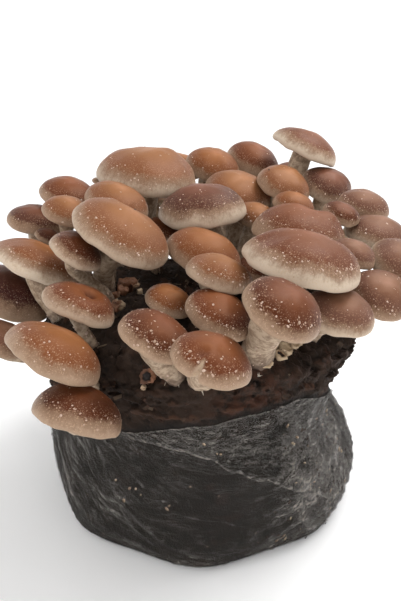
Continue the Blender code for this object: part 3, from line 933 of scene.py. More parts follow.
# Each mushroom on the far side: its cap's bearing, reach and height, its width, how far it leans outwards,
# its colouring and how scaly it is
Hidden = namedtuple("Hidden", "name bearing reach height cap lean look flecks")
HIDDEN = (
    Hidden("back_1", 177, 112, 137, 29.9, 28, "brown", 0.8),
    Hidden("back_2", 156, 110, 134, 24, 32, "golden", 0.6),
    Hidden("back_3", 202, 92, 157, 29.9, 16, "tan", 0.8),
    Hidden("back_4", 227, 100, 134, 29.9, 30, "red_brown", 1),
    Hidden("back_5", 122, 108, 131, 32, 30, "mauve", 0.7),
    Hidden("back_6", 189, 110, 98, 31, 40, "orange", 0.6),
    Hidden("back_7", 172, 110, 100, 29.5, 42, "brown", 0.9),
    Hidden("back_8", 212, 110, 100, 29.5, 40, "golden", 0.5),
    Hidden("back_9", 240, 106, 104, 28, 40, "tan", 0.6),
    Hidden("back_10", 141, 109, 96, 26, 40, "red_brown", 0.8),
)

# The dark side of some caps: the way it faces round the cap, in degrees from its right, and how dark it is
DARK_SIDES = {
    "front_4": (-20, 0.9),
    "left_1": (60, 0.7),
    "left_2": (80, 0.7),
    "left_8": (0, 0.9),
    "left_6": (70, 0.6),
    "left_4": (0, 0.4),
    "crown_6": (-10, 1.0),
    "crown_9": (90, 0.7),
    "front_2": (-70, 0.4),
    "crown_2": (90, 0.25),
    "right_3": (60, 0.5),
}

# Dimples, folds and swellings in some caps: where round the cap in degrees, then how far out, how wide and
# how deep as shares of its radius, less than 0 where it swells
Dent = namedtuple("Dent", "turn out wide deep")
DENTS = {
    "left_3": (Dent(-40, 0.2, 0.2, 0.24), Dent(200, 0.45, 0.3, -0.03), Dent(10, 0.6, 0.3, -0.04)),
    "front_5": (Dent(60, 0.2, 0.12, 0.1), Dent(0, 0.4, 0.3, -0.04)),
    "front_2": (Dent(-115, 0.62, 0.16, 0.1), Dent(-60, 0.45, 0.2, 0.05)),
    "left_5": (Dent(60, 0.1, 0.35, -0.05), Dent(100, 0.5, 0.3, 0.06)),
    "left_4": (Dent(200, 0.75, 0.25, 0.05),),
    "crown_3": (Dent(-60, 0.6, 0.3, 0.04), Dent(40, 0.5, 0.3, -0.04)),
    "front_7": (Dent(200, 0.75, 0.25, 0.06), Dent(0, 0.7, 0.3, -0.05)),
    "front_8": (Dent(-40, 0.6, 0.25, 0.05),),
    "crown_5": (Dent(-90, 0.5, 0.3, 0.05),),
    "crown_1": (Dent(5, 0.62, 0.26, -0.12), Dent(60, 0.2, 0.22, 0.05)),
}

# Caps whose margin is broader and paler than the others', and how much: partly the cap's own margin and
# partly painted light where the rim catches the light
PALE_AND_LIT_RIMS = {
    "front_7": 1,
    "crown_2": 0.9,
    "crown_3": 0.8,
    "crown_7": 1,
    "left_4": 1,
    "left_5": 0.6,
    "left_3": 0.5,
    "front_6": 0.7,
    "right_1": 0.8,
    "right_3": 0.8,
    "crown_9": 0.6,
    "left_8": 0.6,
    "front_8": 0.4,
}

# Where a margin is split or drawn out: the way round the cap in degrees, how wide in radians, and how deep it
# cuts in as a share of the radius, less than 0 where it is drawn out
NOTCHES = {
    "front_2": ((-102, 0.08, 0.2), (-60, 0.3, -0.03)),
    "left_4": ((-140, 0.2, 0.06), (180, 0.3, -0.05)),
    "front_7": ((184, 0.16, -0.08), (150, 0.3, 0.06), (-20, 0.3, -0.03)),
    "crown_3": ((200, 0.4, -0.04), (-25, 0.3, -0.04)),
    "crown_1": ((5, 0.25, -0.05), (200, 0.3, -0.04)),
    "left_1": ((170, 0.3, -0.05), (-30, 0.3, -0.03)),
    "left_5": ((-50, 0.4, -0.04), (0, 0.3, -0.03)),
    "crown_7": ((180, 0.3, -0.06), (20, 0.4, 0.03)),
    "crown_2": ((0, 0.4, -0.03), (180, 0.3, -0.03), (90, 0.4, -0.04)),
    "front_8": ((-20, 0.3, 0.05),),
    "right_1": ((160, 0.3, -0.05),),
    "right_3": ((170, 0.25, -0.06),),
    "front_6": ((-60, 0.3, 0.04), (-100, 0.3, -0.03)),
    "left_3": ((-20, 0.3, -0.05), (-90, 0.3, 0.03)),
    "left_2": ((-30, 0.4, -0.03),),
}

# Holes that insects left, drawn as flat lumps of near-black painted shade: the cap, where round it and how
# far out, and how wide in millimetres to each side
Hole = namedtuple("Hole", "name turn margin wide")
HOLES = (Hole("crown_8", 200, 0.55, 1.3), Hole("left_5", 88, 0.18, 1.3), Hole("crown_3", 110, 0.3, 0.9))

# One mushroom's form: the middle of its lip, its axis and two ways across it, its sizes
Grown = namedtuple("Grown", "name index lip axis side ahead radius flat stem")


def noisy(*place):
    """Smooth noise at a place, from about -1 to 1."""
    return noise.noise(Vector(place))


def dented(dent, x, y):
    """How far a place on the pattern lies in a dent, from 1 in its middle to 0."""
    angle = math.radians(dent.turn)
    away = math.hypot(x - dent.out * math.cos(angle), y - dent.out * math.sin(angle)) / dent.wide
    return math.exp(-away * away)


def notched(facing, wide, turn):
    """How far a way round the cap lies in a notch, from 1 in its middle to 0."""
    away = math.remainder(turn - math.radians(facing), math.tau) / wide
    return math.exp(-away * away)


# How far out a notch begins, and how much its sides are lifted
NOTCH_FROM = 0.45
NOTCH_LIFTS = 0.35


def on_cap(cap, out, up, turn):
    """A place on one mushroom's cap, from its place on the pattern."""
    x = out * math.cos(turn)
    y = out * math.sin(turn)
    seed = 3.7 * cap.index
    reach = 1 + OVAL * math.sin(2 * turn + cap.index) + LOBED * math.sin(3 * turn + 2 * cap.index)
    lifted = 0.05 * noisy(1.3 * x, 1.3 * y, seed) + 0.018 * noisy(4 * x, 4 * y, seed)
    lifted += 0.04 * out**4 * noisy(2.2 * math.cos(turn), 2.2 * math.sin(turn), seed + 9)
    reach += 0.014 * out * noisy(4 * math.cos(turn), 4 * math.sin(turn), seed + 20)
    for dent in DENTS.get(cap.name, ()):
        lifted -= dent.deep * dented(dent, x, y)
    for facing, wide, deep in NOTCHES.get(cap.name, ()):
        notch = notched(facing, wide, turn) * max(0, out - NOTCH_FROM) / (1 - NOTCH_FROM)
        reach -= deep * notch
        lifted += NOTCH_LIFTS * max(0, deep) * notch
    across = (cap.side * x + cap.ahead * y) * reach
    return cap.lip + (across + cap.axis * (up * cap.flat + lifted)) * cap.radius


def along_cap(margin):
    """How far out and up the cap's outline is, a share of the way from the middle of its top to its lip."""
    for (near, high), (out, up), first, second in zip(rings, rings[1:], MARGINS, MARGINS[1:]):
        if margin <= second:
            share = (margin - first) / (second - first)
            return near + (out - near) * share, high + (up - high) * share
    return rings[-1]


def stem_frames(cap, foot):
    """The middle of the stem and two ways across it, at each row from under the cap to inside the block."""
    root, out_of_block = foot
    top = cap.lip + cap.axis * cap.radius * cap.flat * STEM_TOP
    length = (top - root).length
    steep = (out_of_block + Vector((0, 0, STEEPNESS))).normalized()
    leaves = top - cap.axis * length * KEEPS
    meets = root + steep * length * TURNS_UP
    end = root - out_of_block * STEM_SINK
    side, ahead, heading = cap.side, cap.ahead, -cap.axis
    frames = []
    for row in range(STEM_ROWS + 1):
        share = row / STEM_ROWS
        rest = 1 - share
        near_cap = top * rest**2 + leaves * 2 * rest * share + meets * share**2
        near_foot = leaves * rest**2 + meets * 2 * rest * share + end * share**2
        flow = (near_foot - near_cap).normalized()
        swing = heading.rotation_difference(flow)
        side, ahead, heading = swing @ side, swing @ ahead, flow
        frames.append((near_cap * rest + near_foot * share, side, ahead))
    return frames


def on_stem(cap, frames, share, turn, middle=False):
    """A place on one mushroom's stem, from its place on the pattern."""
    place, side, ahead = frames[round(share * STEM_ROWS)]
    if middle:
        return place
    lumps = noisy(math.cos(turn), math.sin(turn), 3 * share + cap.index)
    knobs = noisy(3 * math.cos(turn), 3 * math.sin(turn), 9 * share + cap.index)
    wide = between(STEM_WIDTHS, share) * (1 + 0.2 * lumps + 0.13 * knobs)
    wide *= cap.radius * cap.stem
    return place + (side * math.cos(turn) + ahead * math.sin(turn)) * wide


# How much painted shade darkens a dent, how deep a notch is split open, how far out and how much wider the
# flesh shows, and the steps round and along a cap that the way out of it is worked out from
DENT_PAINTED_SHADE = 4
SPLITS_IF = ((0.1, 0), (0.2, 1))
SPLIT_FROM = ((0.72, 0), (0.95, 1))
SPLIT_WIDER = 1.3
TURN_STEP = 0.05
MARGIN_STEP = 0.02

# Scales: half their least length, what chance adds to it and half their thickness in millimetres, how many
# for each millimetre of a cap's radius and for each stem, and half the thickness on stems and at holes
FLECK_LONG = 0.24
FLECK_LONGER = 0.55
FLECK_THICK = 0.1
FLECKS_PER_MM = 8
STEM_SCALES = 22
STEM_SCALE_THICK = 0.25
HOLE_THICK = 0.25

# One scale is modelled, a lump of twelve corners, and every scale is a copy of it, flattened and half sunk
bpy.ops.object.select_all(action="DESELECT")
bpy.ops.mesh.primitive_ico_sphere_add(subdivisions=1, radius=1)
lump = bpy.context.object
lump_corners = [vertex.co.copy() for vertex in lump.data.vertices]
lump_faces = [tuple(polygon.vertices) for polygon in lump.data.polygons]
bpy.data.objects.remove(lump)
Scales = namedtuple("Scales", "corners faces kinds")


def fleck(scales, place, out, long, wide, thick, kind):
    """One dried scale, a flattened lump half sunk in the skin."""
    across, ahead = on_end(out)
    at = frame_at(place, across, ahead, out, (long * MM, wide * MM, thick * MM))
    first = len(scales.corners)
    scales.corners.extend([at @ corner for corner in lump_corners])
    scales.faces.extend([tuple(first + index for index in face) for face in lump_faces])
    scales.kinds.extend([kind] * len(lump_faces))


def scale_margin():
    """How far out on a cap one scale lies: most in a ring, some further in and a few nearer to the edge."""
    where = chance.random()
    if where < 0.7:
        return chance.gauss(0.7, 0.06)
    if where < 0.88:
        return chance.uniform(0.2, 0.66)
    return chance.gauss(0.84, 0.05)


def scattered(cap, frames, flecks):
    """The scales of one mushroom's cap and stem, and the insect holes in its cap."""
    scales = Scales([], [], [])
    count = round(FLECKS_PER_MM * flecks * cap.radius / MM)
    for number in range(count):
        margin = max(0.05, min(0.95, scale_margin()))
        turn = math.tau * (number + 2 * chance.random()) / count
        place = on_cap(cap, *along_cap(margin), turn)
        down = on_cap(cap, *along_cap(margin + MARGIN_STEP), turn) - place
        beside = on_cap(cap, *along_cap(margin), turn + TURN_STEP) - place
        out = beside.cross(down).normalized()
        if out.dot(place - (cap.lip - cap.axis * cap.radius)) < 0:
            out = -out
        long = FLECK_LONG + FLECK_LONGER * chance.random() ** 3
        thick = FLECK_THICK * chance.uniform(0.7, 1.4)
        fleck(scales, place, out, long, long * chance.uniform(0.5, 0.9), thick, SCALE)
    for number in range(STEM_SCALES):
        share = chance.uniform(0.05, 0.9)
        turn = chance.uniform(0, math.tau)
        place = on_stem(cap, frames, share, turn)
        out = (place - on_stem(cap, frames, share, turn, True)).normalized()
        long = 0.4 + 0.9 * chance.random() ** 2
        fleck(scales, place, out, long, long * chance.uniform(0.4, 0.8), STEM_SCALE_THICK, SCALE)
    for hole in HOLES:
        if hole.name == cap.name:
            turn = math.radians(hole.turn)
            place = on_cap(cap, *along_cap(hole.margin), turn)
            fleck(scales, place - cap.axis * 0.1 * MM, cap.axis, hole.wide, hole.wide * 0.6, HOLE_THICK, HOLE_SHADE_KIND)
    return scales


# Where each stem leaves the block, the way out of it there and the stem's radius, for the threads round it
feet = []


def grow(name, index, centre, axis, side, cap_wide, foot, look, flecks, flat=1, stem=STEM_SHARE):
    """One mushroom, as a copy of the pattern grown to its own form and scattered with scales."""
    radius = cap_wide * MM / 2
    lip = centre - axis * radius * flat * CAP_MIDDLE
    cap = Grown(name, index, lip, axis, side, axis.cross(side), radius, flat, stem)
    frames = stem_frames(cap, foot)
    feet.append((*foot, radius * stem))
    mesh = pattern.data.copy()
    mesh.name = name
    dark_turn, dark = DARK_SIDES.get(name, (0, 0))
    pale = PALE_AND_LIT_RIMS.get(name, 0)
    shades = []
    splits = []
    rounds = []
    for vertex, at, margin, share in zip(mesh.vertices, still, margins, shares):
        turn = math.atan2(at.y, at.x)
        if share >= 0:
            vertex.co = on_stem(cap, frames, share, turn, at.xy.length < 0.5)
            shades.append(0)
            splits.append(0)
            rounds.append((0, 0, 0))
            continue
        out = at.xy.length
        up = at.z
        if margin > GILLS_FROM and round(turn * CAP_SIDES / math.tau) % 2:
            up += GILL_DEEP
        vertex.co = on_cap(cap, out, up, turn)
        darker_side_and_dent_shade = dark * max(0, 0.2 + out * math.cos(turn - math.radians(dark_turn)))
        # Painted shade in the dents, darkest where they are deepest
        for dent in DENTS.get(name, ()):
            darker_side_and_dent_shade += DENT_PAINTED_SHADE * max(0, dent.deep) * dented(dent, at.x, at.y)
        shades.append(darker_side_and_dent_shade)
        split = 0
        for facing, wide, deep in NOTCHES.get(name, ()):
            torn_open = between(SPLITS_IF, deep) * notched(facing, SPLIT_WIDER * wide, turn)
            split = max(split, torn_open * between(SPLIT_FROM, out))
        splits.append(split)
        rounds.append((math.cos(turn) * radius / MM, math.sin(turn) * radius / MM, 40 * index + 2 * margin))
    keep(mesh, "split", splits)
    keep(mesh, "dark_side_and_dent_shade", shades)
    keep(mesh, "pale_and_lit_rim", [pale] * len(mesh.vertices))
    keep(mesh, "round_rim", [value for place in rounds for value in place], "vector")
    scales = scattered(cap, frames, flecks)
    lumps = bpy.data.meshes.new("scales")
    lumps.from_pydata(scales.corners, [], scales.faces)
    lumps.polygons.foreach_set("material_index", scales.kinds)
    body = bmesh.new()
    body.from_mesh(mesh)
    body.from_mesh(lumps)
    body.to_mesh(mesh)
    body.free()
    bpy.data.meshes.remove(lumps)
    for label, colour in LOOKS[look]._asdict().items():
        keep(mesh, label, linear(colour) * len(mesh.vertices), "color")
    mesh.shade_smooth()
    for material in (cap_skin, gill, stem_skin, scale, painted_hole_shade):
        mesh.materials.append(material)
    piece = bpy.data.objects.new("shiitake_" + name, mesh)
    bpy.context.scene.collection.objects.link(piece)
    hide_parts("mushroom_" + name)
    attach(piece, "root")


# Cap skin: a dry leathery cuticle, browned by light on top and torn into cream fibres towards the margin. It
# has a low gloss, fine mottling a millimetre or two across, and a dust of pale scales too small to model. Its
# browns are each cap's own, darker on its dark side, with pale flesh where its margin split. Painted light is
# added too: a painted highlight brightens the middle of the top, painted shade darkens the dents, and the
# paler margins of some caps are partly painted light where the rim catches it.
cap_skin, tree, shader = new_material("shiitake cap skin", 0.5)
place = add(tree, "TexCoord", output="Object")
round_rim = add(tree, "Attribute", output="Vector", attribute_name="round_rim")
crown = add(tree, "Attribute", output="Color", attribute_name="crown")
edge = add(tree, "Attribute", output="Color", attribute_name="edge")
margin = add(tree, "Attribute", output="Fac", attribute_name="margin")
dark_side_and_dent_shade = add(tree, "Attribute", output="Fac", attribute_name="dark_side_and_dent_shade")
pale_and_lit_rim = add(tree, "Attribute", output="Fac", attribute_name="pale_and_lit_rim")
split = add(tree, "Attribute", output="Fac", attribute_name="split")
patches = add(tree, "TexNoise", {"Vector": place, "Scale": PER_MM / 9, "Detail": 3})
mottle = add(tree, "TexNoise", {"Vector": place, "Scale": PER_MM / 1.8, "Detail": 4, "Roughness": 0.7})
dust = add(tree, "TexNoise", {"Vector": place, "Scale": PER_MM / 0.55, "Detail": 1})
pleats = add(tree, "TexNoise", {"Vector": round_rim, "Scale": 1 / 0.9, "Detail": 2})

# How far out a place counts as, moved by the patches, the mottling, a pale rim that is partly painted light,
# and the pleats
reach = add(tree, "Math", {0: patches, 1: 0.2, 2: margin}, operation="MULTIPLY_ADD")
reach = add(tree, "Math", {0: mottle, 1: 0.2, 2: reach}, operation="MULTIPLY_ADD")
reach = add(tree, "Math", {0: pale_and_lit_rim, 1: 0.05, 2: reach}, operation="MULTIPLY_ADD")
pleated = add(tree, "Math", {0: pleats, 1: 0.5}, operation="SUBTRACT")
reach = add(tree, "Math", {0: pleated, 1: 0.08, 2: reach}, operation="MULTIPLY_ADD")

# Its browns from the middle of its top to its edge; the middle is brightened as a painted highlight
middle = add(tree, "HueSaturation", {"Color": crown, "Saturation": 0.95, "Value": 1.38})
rim_tone = add(tree, "HueSaturation", {"Color": edge, "Saturation": 0.97, "Value": 1.2})
browner = add(tree, "MapRange", {"Value": reach, "From Min": 0.2, "From Max": 0.5}, **EASED)
colour = add(tree, "Mix", {0: browner, 6: middle, 7: crown}, 2, data_type="RGBA")
outer = add(tree, "MapRange", {"Value": reach, "From Min": 0.45, "From Max": 0.8}, **EASED)
colour = add(tree, "Mix", {0: outer, 6: colour, 7: rim_tone}, 2, data_type="RGBA")

# Its dark side with the painted shade of its dents, its mottling, and the taupe and the cream of its margin
darkened = add(tree, "MapRange", {"Value": dark_side_and_dent_shade, "From Min": 0.25, "From Max": 0.95}, **EASED)
darkened = add(tree, "Math", {0: darkened, 1: 0.8}, operation="MULTIPLY")
lighter = add(tree, "MapRange", {"Value": mottle, "From Min": 0.5, "From Max": 0.8}, **EASED)
lighter = add(tree, "Math", {0: lighter, 1: 0.3}, operation="MULTIPLY")
taupe = add(tree, "MapRange", {"Value": reach, "From Min": 0.86, "From Max": 1.02}, **EASED)
taupe = add(tree, "Math", {0: taupe, 1: 0.85}, operation="MULTIPLY")
for share, tone in ((darkened, "#42241E"), (lighter, "#98694A"), (taupe, "#917660")):
    colour = add(tree, "Mix", {0: share, 6: colour, 7: linear(tone)}, 2, data_type="RGBA")
# The cream margin, paler on the pale-rimmed caps, where it is partly painted light on the rim
cream = add(tree, "MapRange", {"Value": reach, "From Min": 0.99, "From Max": 1.17}, **EASED)
as_pale = add(tree, "Math", {0: pale_and_lit_rim, 1: 0.35, 2: 0.65}, operation="MULTIPLY_ADD")
cream = add(tree, "Math", {0: cream, 1: as_pale}, operation="MULTIPLY")
creams = {0: pale_and_lit_rim, 6: linear("#B69C84"), 7: linear("#CDBBA6")}
creams = add(tree, "Mix", creams, 2, data_type="RGBA")
colour = add(tree, "Mix", {0: cream, 6: colour, 7: creams}, 2, data_type="RGBA")

# The flesh in its splits, and its dust of pale scales
opened = add(tree, "MapRange", {"Value": split, "From Min": 0.15, "From Max": 1}, **EASED)
fleshy = add(tree, "MapRange", {"Value": mottle, "From Min": 0.25, "From Max": 0.6}, **EASED)
open_flesh = add(tree, "Math", {0: opened, 1: fleshy}, operation="MULTIPLY")
specks = add(tree, "MapRange", {"Value": dust, "From Min": 0.58, "From Max": 0.67}, **EASED)
towards_rim = add(tree, "MapRange", {"Value": reach, "From Min": 0.5, "From Max": 0.85}, **EASED)
speckled = add(tree, "Math", {0: specks, 1: towards_rim}, operation="MULTIPLY")
speckled = add(tree, "Math", {0: speckled, 1: 0.38}, operation="MULTIPLY")
for share, tone in ((open_flesh, "#BFA78E"), (speckled, "#C9A98C")):
    colour = add(tree, "Mix", {0: share, 6: colour, 7: linear(tone)}, 2, data_type="RGBA")
colour = add(tree, "HueSaturation", {"Color": colour, "Saturation": 0.98, "Value": 0.91})
tree.links.new(colour, shader.inputs["Base Color"])
rough = add(tree, "MapRange", {"Value": mottle, "To Min": 0.34, "To Max": 0.54})
tree.links.new(rough, shader.inputs["Roughness"])
shader.inputs["Specular IOR Level"].default_value = 0.22
shader.inputs["Specular Tint"].default_value = linear("#E0A070")
at_rim = add(tree, "MapRange", {"Value": reach, "From Min": 0.95, "From Max": 1.15}, **EASED)
folded = add(tree, "Math", {0: pleats, 1: at_rim}, operation="MULTIPLY")
relief = add(tree, "Math", {0: mottle, 1: 0.5, 2: folded}, operation="MULTIPLY_ADD")
bump = add(tree, "Bump", {"Strength": 0.5, "Distance": 0.35 * MM, "Height": relief})
tree.links.new(bump, shader.inputs["Normal"])

# Gills: thin pale blades, matt, cream stained brown in patches
gill, tree, shader = new_material("shiitake gills", 0.75)
place = add(tree, "TexCoord", output="Object")
stain = add(tree, "TexNoise", {"Vector": place, "Scale": PER_MM / 6, "Detail": 3})
stained = add(tree, "MapRange", {"Value": stain, "From Min": 0.35, "From Max": 0.7}, **EASED)
creams = {0: stained, 6: linear("#BFAE92"), 7: linear("#8E755B")}
tree.links.new(add(tree, "Mix", creams, 2, data_type="RGBA"), shader.inputs["Base Color"])

# Stem: tough white fibre that browns where it is bruised, and darker towards its foot
stem_skin, tree, shader = new_material("shiitake stem", 0.7)
place = add(tree, "TexCoord", output="Object")
along = add(tree, "Attribute", output="Fac", attribute_name="along_stem")
fibre = add(tree, "TexNoise", {"Vector": place, "Scale": PER_MM / 3, "Detail": 5, "Roughness": 0.7})
bruised = add(tree, "MapRange", {"Value": fibre, "From Min": 0.4, "From Max": 0.62}, **EASED)
low = add(tree, "Math", {0: fibre, 1: 0.3, 2: along}, operation="MULTIPLY_ADD")
darker_to_foot = add(tree, "MapRange", {"Value": low, "From Min": 0.75, "From Max": 1.2}, **EASED)
colour = linear("#BCA68E")
for share, tone in ((bruised, "#8C745E"), (darker_to_foot, "#4A362C")):
    colour = add(tree, "Mix", {0: share, 6: colour, 7: linear(tone)}, 2, data_type="RGBA")
tree.links.new(colour, shader.inputs["Base Color"])
bump = add(tree, "Bump", {"Strength": 0.6, "Distance": 0.5 * MM, "Height": fibre})
tree.links.new(bump, shader.inputs["Normal"])

# Dried scales: scraps of the veil and skin, pale and a little glossy
scale, tree, shader = new_material("dried veil scales", 0.45)
place = add(tree, "TexCoord", output="Object")
tint = add(tree, "TexNoise", {"Vector": place, "Scale": PER_MM / 4})
tinted = add(tree, "MapRange", {"Value": tint, "From Min": 0.35, "From Max": 0.65}, **EASED)
pinks = {0: tinted, 6: linear("#CAB09F"), 7: linear("#AE8F79")}
tree.links.new(add(tree, "Mix", pinks, 2, data_type="RGBA"), shader.inputs["Base Color"])

# Insect holes: nearly black painted shade, laid on the cap where each hole lies
painted_hole_shade, tree, shader = new_material("insect hole, painted shade", 0.9)
shader.inputs["Base Color"].default_value = linear("#1C1310")


def straight_below(centre, axis):
    """The bearing and distance along the block's outline where a cap's own axis meets the block."""
    drop = (centre.z - BLOCK_TOP * MM) / max(LEAST_RISE, axis.z)
    under = centre - axis * max(drop, SHORTEST_STEM)
    along = between(FOOT_ALONG, under.xy.length / MM)
    lowered = max(0, BLOCK_TOP - centre.z / MM)
    return bearing_of(under), along + lowered


for index, shoot in enumerate(SHOOTS):
    sight = FORWARD + RIGHT * ((shoot.across - MIDDLE[0]) / FOCAL) + UP * ((MIDDLE[1] - shoot.down) / FOCAL)
    centre = EYE + sight * shoot.away * MM
    slope, facing = math.radians(shoot.slope), math.radians(shoot.facing)
    towards = -sight.normalized()
    raised = (RIGHT * math.sin(slope) + UP * math.cos(slope)).cross(towards)
    raised = towards.cross(raised).normalized()
    axis = towards * math.cos(facing) + raised * math.sin(facing)
    side = axis.cross(towards).normalized()
    foot = on_block(*(shoot.foot or straight_below(centre, axis)))
    form = (shoot.look, shoot.flecks, shoot.flat, shoot.stem)
    grow(shoot.name, index, centre, axis, side, shoot.cap, foot, *form)

for index, shoot in enumerate(HIDDEN, len(SHOOTS)):
    centre = around_block(shoot.bearing, shoot.reach, shoot.height)
    level = around_block(shoot.bearing, 1, 0).normalized()
    lean = math.radians(shoot.lean)
    axis = level * math.sin(lean) + Vector((0, 0, math.cos(lean)))
    side = level.cross(axis).normalized()
    foot = on_block(*straight_below(centre, axis))
    grow(shoot.name, index, centre, axis, side, shoot.cap, foot, shoot.look, shoot.flecks)

bpy.data.objects.remove(pattern)


# Stunted mushrooms and torn stumps
# Some pins stop growing and dry up as knobs on the block, and a picked mushroom leaves a hollow ragged stump.
# They are the same flesh as the mushrooms, browned outside, cream where torn, and dark inside with painted
# shade;
# the right of the hollow ones is paled with painted light.

# Each by its bearing, how far along the block's outline, half its width and its height in millimetres, how
# hollow and how brown it is (above 1.2 it is also darkened with painted shade), and the degrees that it leans
Knob = namedtuple("Knob", "bearing along wide tall hollow browned lean", defaults=[0])
KNOBS = (
    Knob(-82, 42, 5.2, 5.4, 0.15, 0.9),
    Knob(-75, 46, 3.6, 3.6, 0.1, 0.9, 30),
    Knob(-92, 47, 2.4, 3.5, 0.0, 0.9, -40),
    Knob(-70, 50, 2.2, 2.4, 0.2, 0.8),
    Knob(-78, 38, 2.6, 3.2, 0.2, 0.6),
    Knob(-88, 40, 2.2, 2.6, 0.3, 0.9),
    Knob(-86, 52, 2.4, 2.2, 0.1, 0.5),
    Knob(-97, 54, 2.6, 2.6, 0.2, 0.7),
    Knob(-52, 55, 3.3, 3.4, 0.75, 0.8),
    Knob(-60, 53, 1.5, 1.8, 0.3, 0.6),
    Knob(-15, 93, 3.6, 3.0, 0.7, 1.48),
    Knob(-16, 98, 1.3, 1.2, 0.2, 0.3),
    Knob(-146, 72, 2.6, 3.5, 0.2, 0.9),
    Knob(-66, 37, 1.6, 2.0, 0.0, 0.0),
    Knob(62, 92, 2.2, 2.6, 0.4, 0.9),
    Knob(176, 60, 3.0, 4.0, 0.2, 0.9),
    Knob(28, 83, 3.6, 2.6, 0.3, 0.1, 20),
    Knob(32, 82, 3.0, 2.2, 0.2, 0.2, 30),
    Knob(25, 86, 3.2, 2.0, 0.4, 0.1, -20),
    Knob(35, 81, 2.4, 1.8, 0.3, 0.2, 30),
    Knob(20, 88, 2.6, 1.6, 0.3, 0.1, 0),
)
KNOB_SIDES = 36

# A knob's outline from the middle of its hollow over its rim to its foot, as shares of its width and height
KNOB_HOLLOW = ((0.12, 0), (0.3, 0.02), (0.48, 0.1), (0.6, 0.6))
KNOB_RIM = ((0.74, 0.9), (0.9, 0.86), (1, 0.6), (0.9, 0.2), (0.8, -0.4))
stumps = []
for number, knob in enumerate(KNOBS):
    filled = [(out, up + (0.95 - 0.3 * out * out - up) * (1 - knob.hollow)) for out, up in KNOB_HOLLOW]
    stump = drawn_up("stump", KNOB_SIDES, filled[0], (*filled[1:], *KNOB_RIM))
    place, out = on_block(knob.bearing, knob.along)
    across, ahead = on_end(out)
    out = (out + across * math.tan(math.radians(knob.lean))).normalized()
    ahead = out.cross(across).normalized()
    across = ahead.cross(out)
    at = frame_at(place, across, ahead, out, (knob.wide * MM, knob.wide * MM, knob.tall * MM))
    browned = []
    for vertex in stump.data.vertices:
        near = vertex.co.copy()
        ragged = 1 + 0.35 * noisy(near.x * 1.4, near.y * 1.4, near.z + 5 * number)
        ragged += 0.3 * noisy(*(near * 3.3))
        torn = 0.6 * knob.hollow * noisy(near.x * 3, near.y * 3, number) if near.z > 0.4 else 0
        lumpy = 0.25 * noisy(near.x * 2.5, near.y * 2.5, near.z * 2.5 + number)
        vertex.co = at @ Vector((near.x * ragged, near.y * ragged, near.z + torn + lumpy))
        # Painted shade inside the hollows, and painted light paling the right side of hollow knobs
        inside = near.xy.length < 0.55 and knob.hollow > 0.3
        painted_light_right = 1.2 * max(0, (vertex.co - place).normalized().x) * knob.hollow
        browned.append(2 if inside else knob.browned - painted_light_right)
    keep(stump.data, "browned", browned)
    stumps.append(stump)
bpy.ops.object.select_all(action="DESELECT")
for stump in stumps:
    stump.select_set(True)
bpy.context.view_layer.objects.active = stumps[0]
bpy.ops.object.join()
stumps = bpy.context.object
stumps.name = "stunted_mushrooms"
stumps.data.name = "stunted_mushrooms"
bpy.ops.object.shade_smooth()
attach(stumps, "root")

# Dried mushroom flesh: cream and fibrous, orange-brown where it is skinned over, nearly black with painted
# shade in the hollows, and paler where painted light falls on the right of hollow stumps
flesh, tree, shader = new_material("dried mushroom flesh", 0.65)
place = add(tree, "TexCoord", output="Object")
browned = add(tree, "Attribute", output="Fac", attribute_name="browned")
patches = add(tree, "TexNoise", {"Vector": place, "Scale": PER_MM / 2, "Detail": 4, "Roughness": 0.65})
skinned = add(tree, "Math", {0: patches, 1: 0.8, 2: browned}, operation="MULTIPLY_ADD")
skinned = add(tree, "MapRange", {"Value": skinned, "From Min": 0.5, "From Max": 1.2}, **EASED)
spotted = add(tree, "MapRange", {"Value": patches, "From Min": 0.55, "From Max": 0.7}, **EASED)
painted_hollow_shade = add(tree, "MapRange", {"Value": browned, "From Min": 1.2, "From Max": 1.8}, **EASED)
colour = linear("#BCA486")
for share, tone in ((skinned, "#7C5238"), (spotted, "#402820"), (painted_hollow_shade, "#1E1410")):
    colour = add(tree, "Mix", {0: share, 6: colour, 7: linear(tone)}, 2, data_type="RGBA")
tree.links.new(colour, shader.inputs["Base Color"])
bump = add(tree, "Bump", {"Strength": 0.6, "Distance": 0.4 * MM, "Height": patches})
tree.links.new(bump, shader.inputs["Normal"])
stumps.data.materials.append(flesh)


# Mycelium and crumbs
# White threads of the fungus cling round the feet of the stems and in tufts on the block, and crumbs of
# sawdust and bark stick to the outside of the film.

# Tufts, each by its bearing, how far along the block's outline, its reach in millimetres and its threads
TUFTS = ((-66, 84, 5, 18), (-66, 37, 4, 14), (17, 93, 2, 9), (-30, 60, 3, 8), (60, 86, 5, 30))
THREADS_ON_FOOT = 7
THREAD_SIDES = 5
THREAD_STEPS = 5
THREAD_WANDERS = 0.5


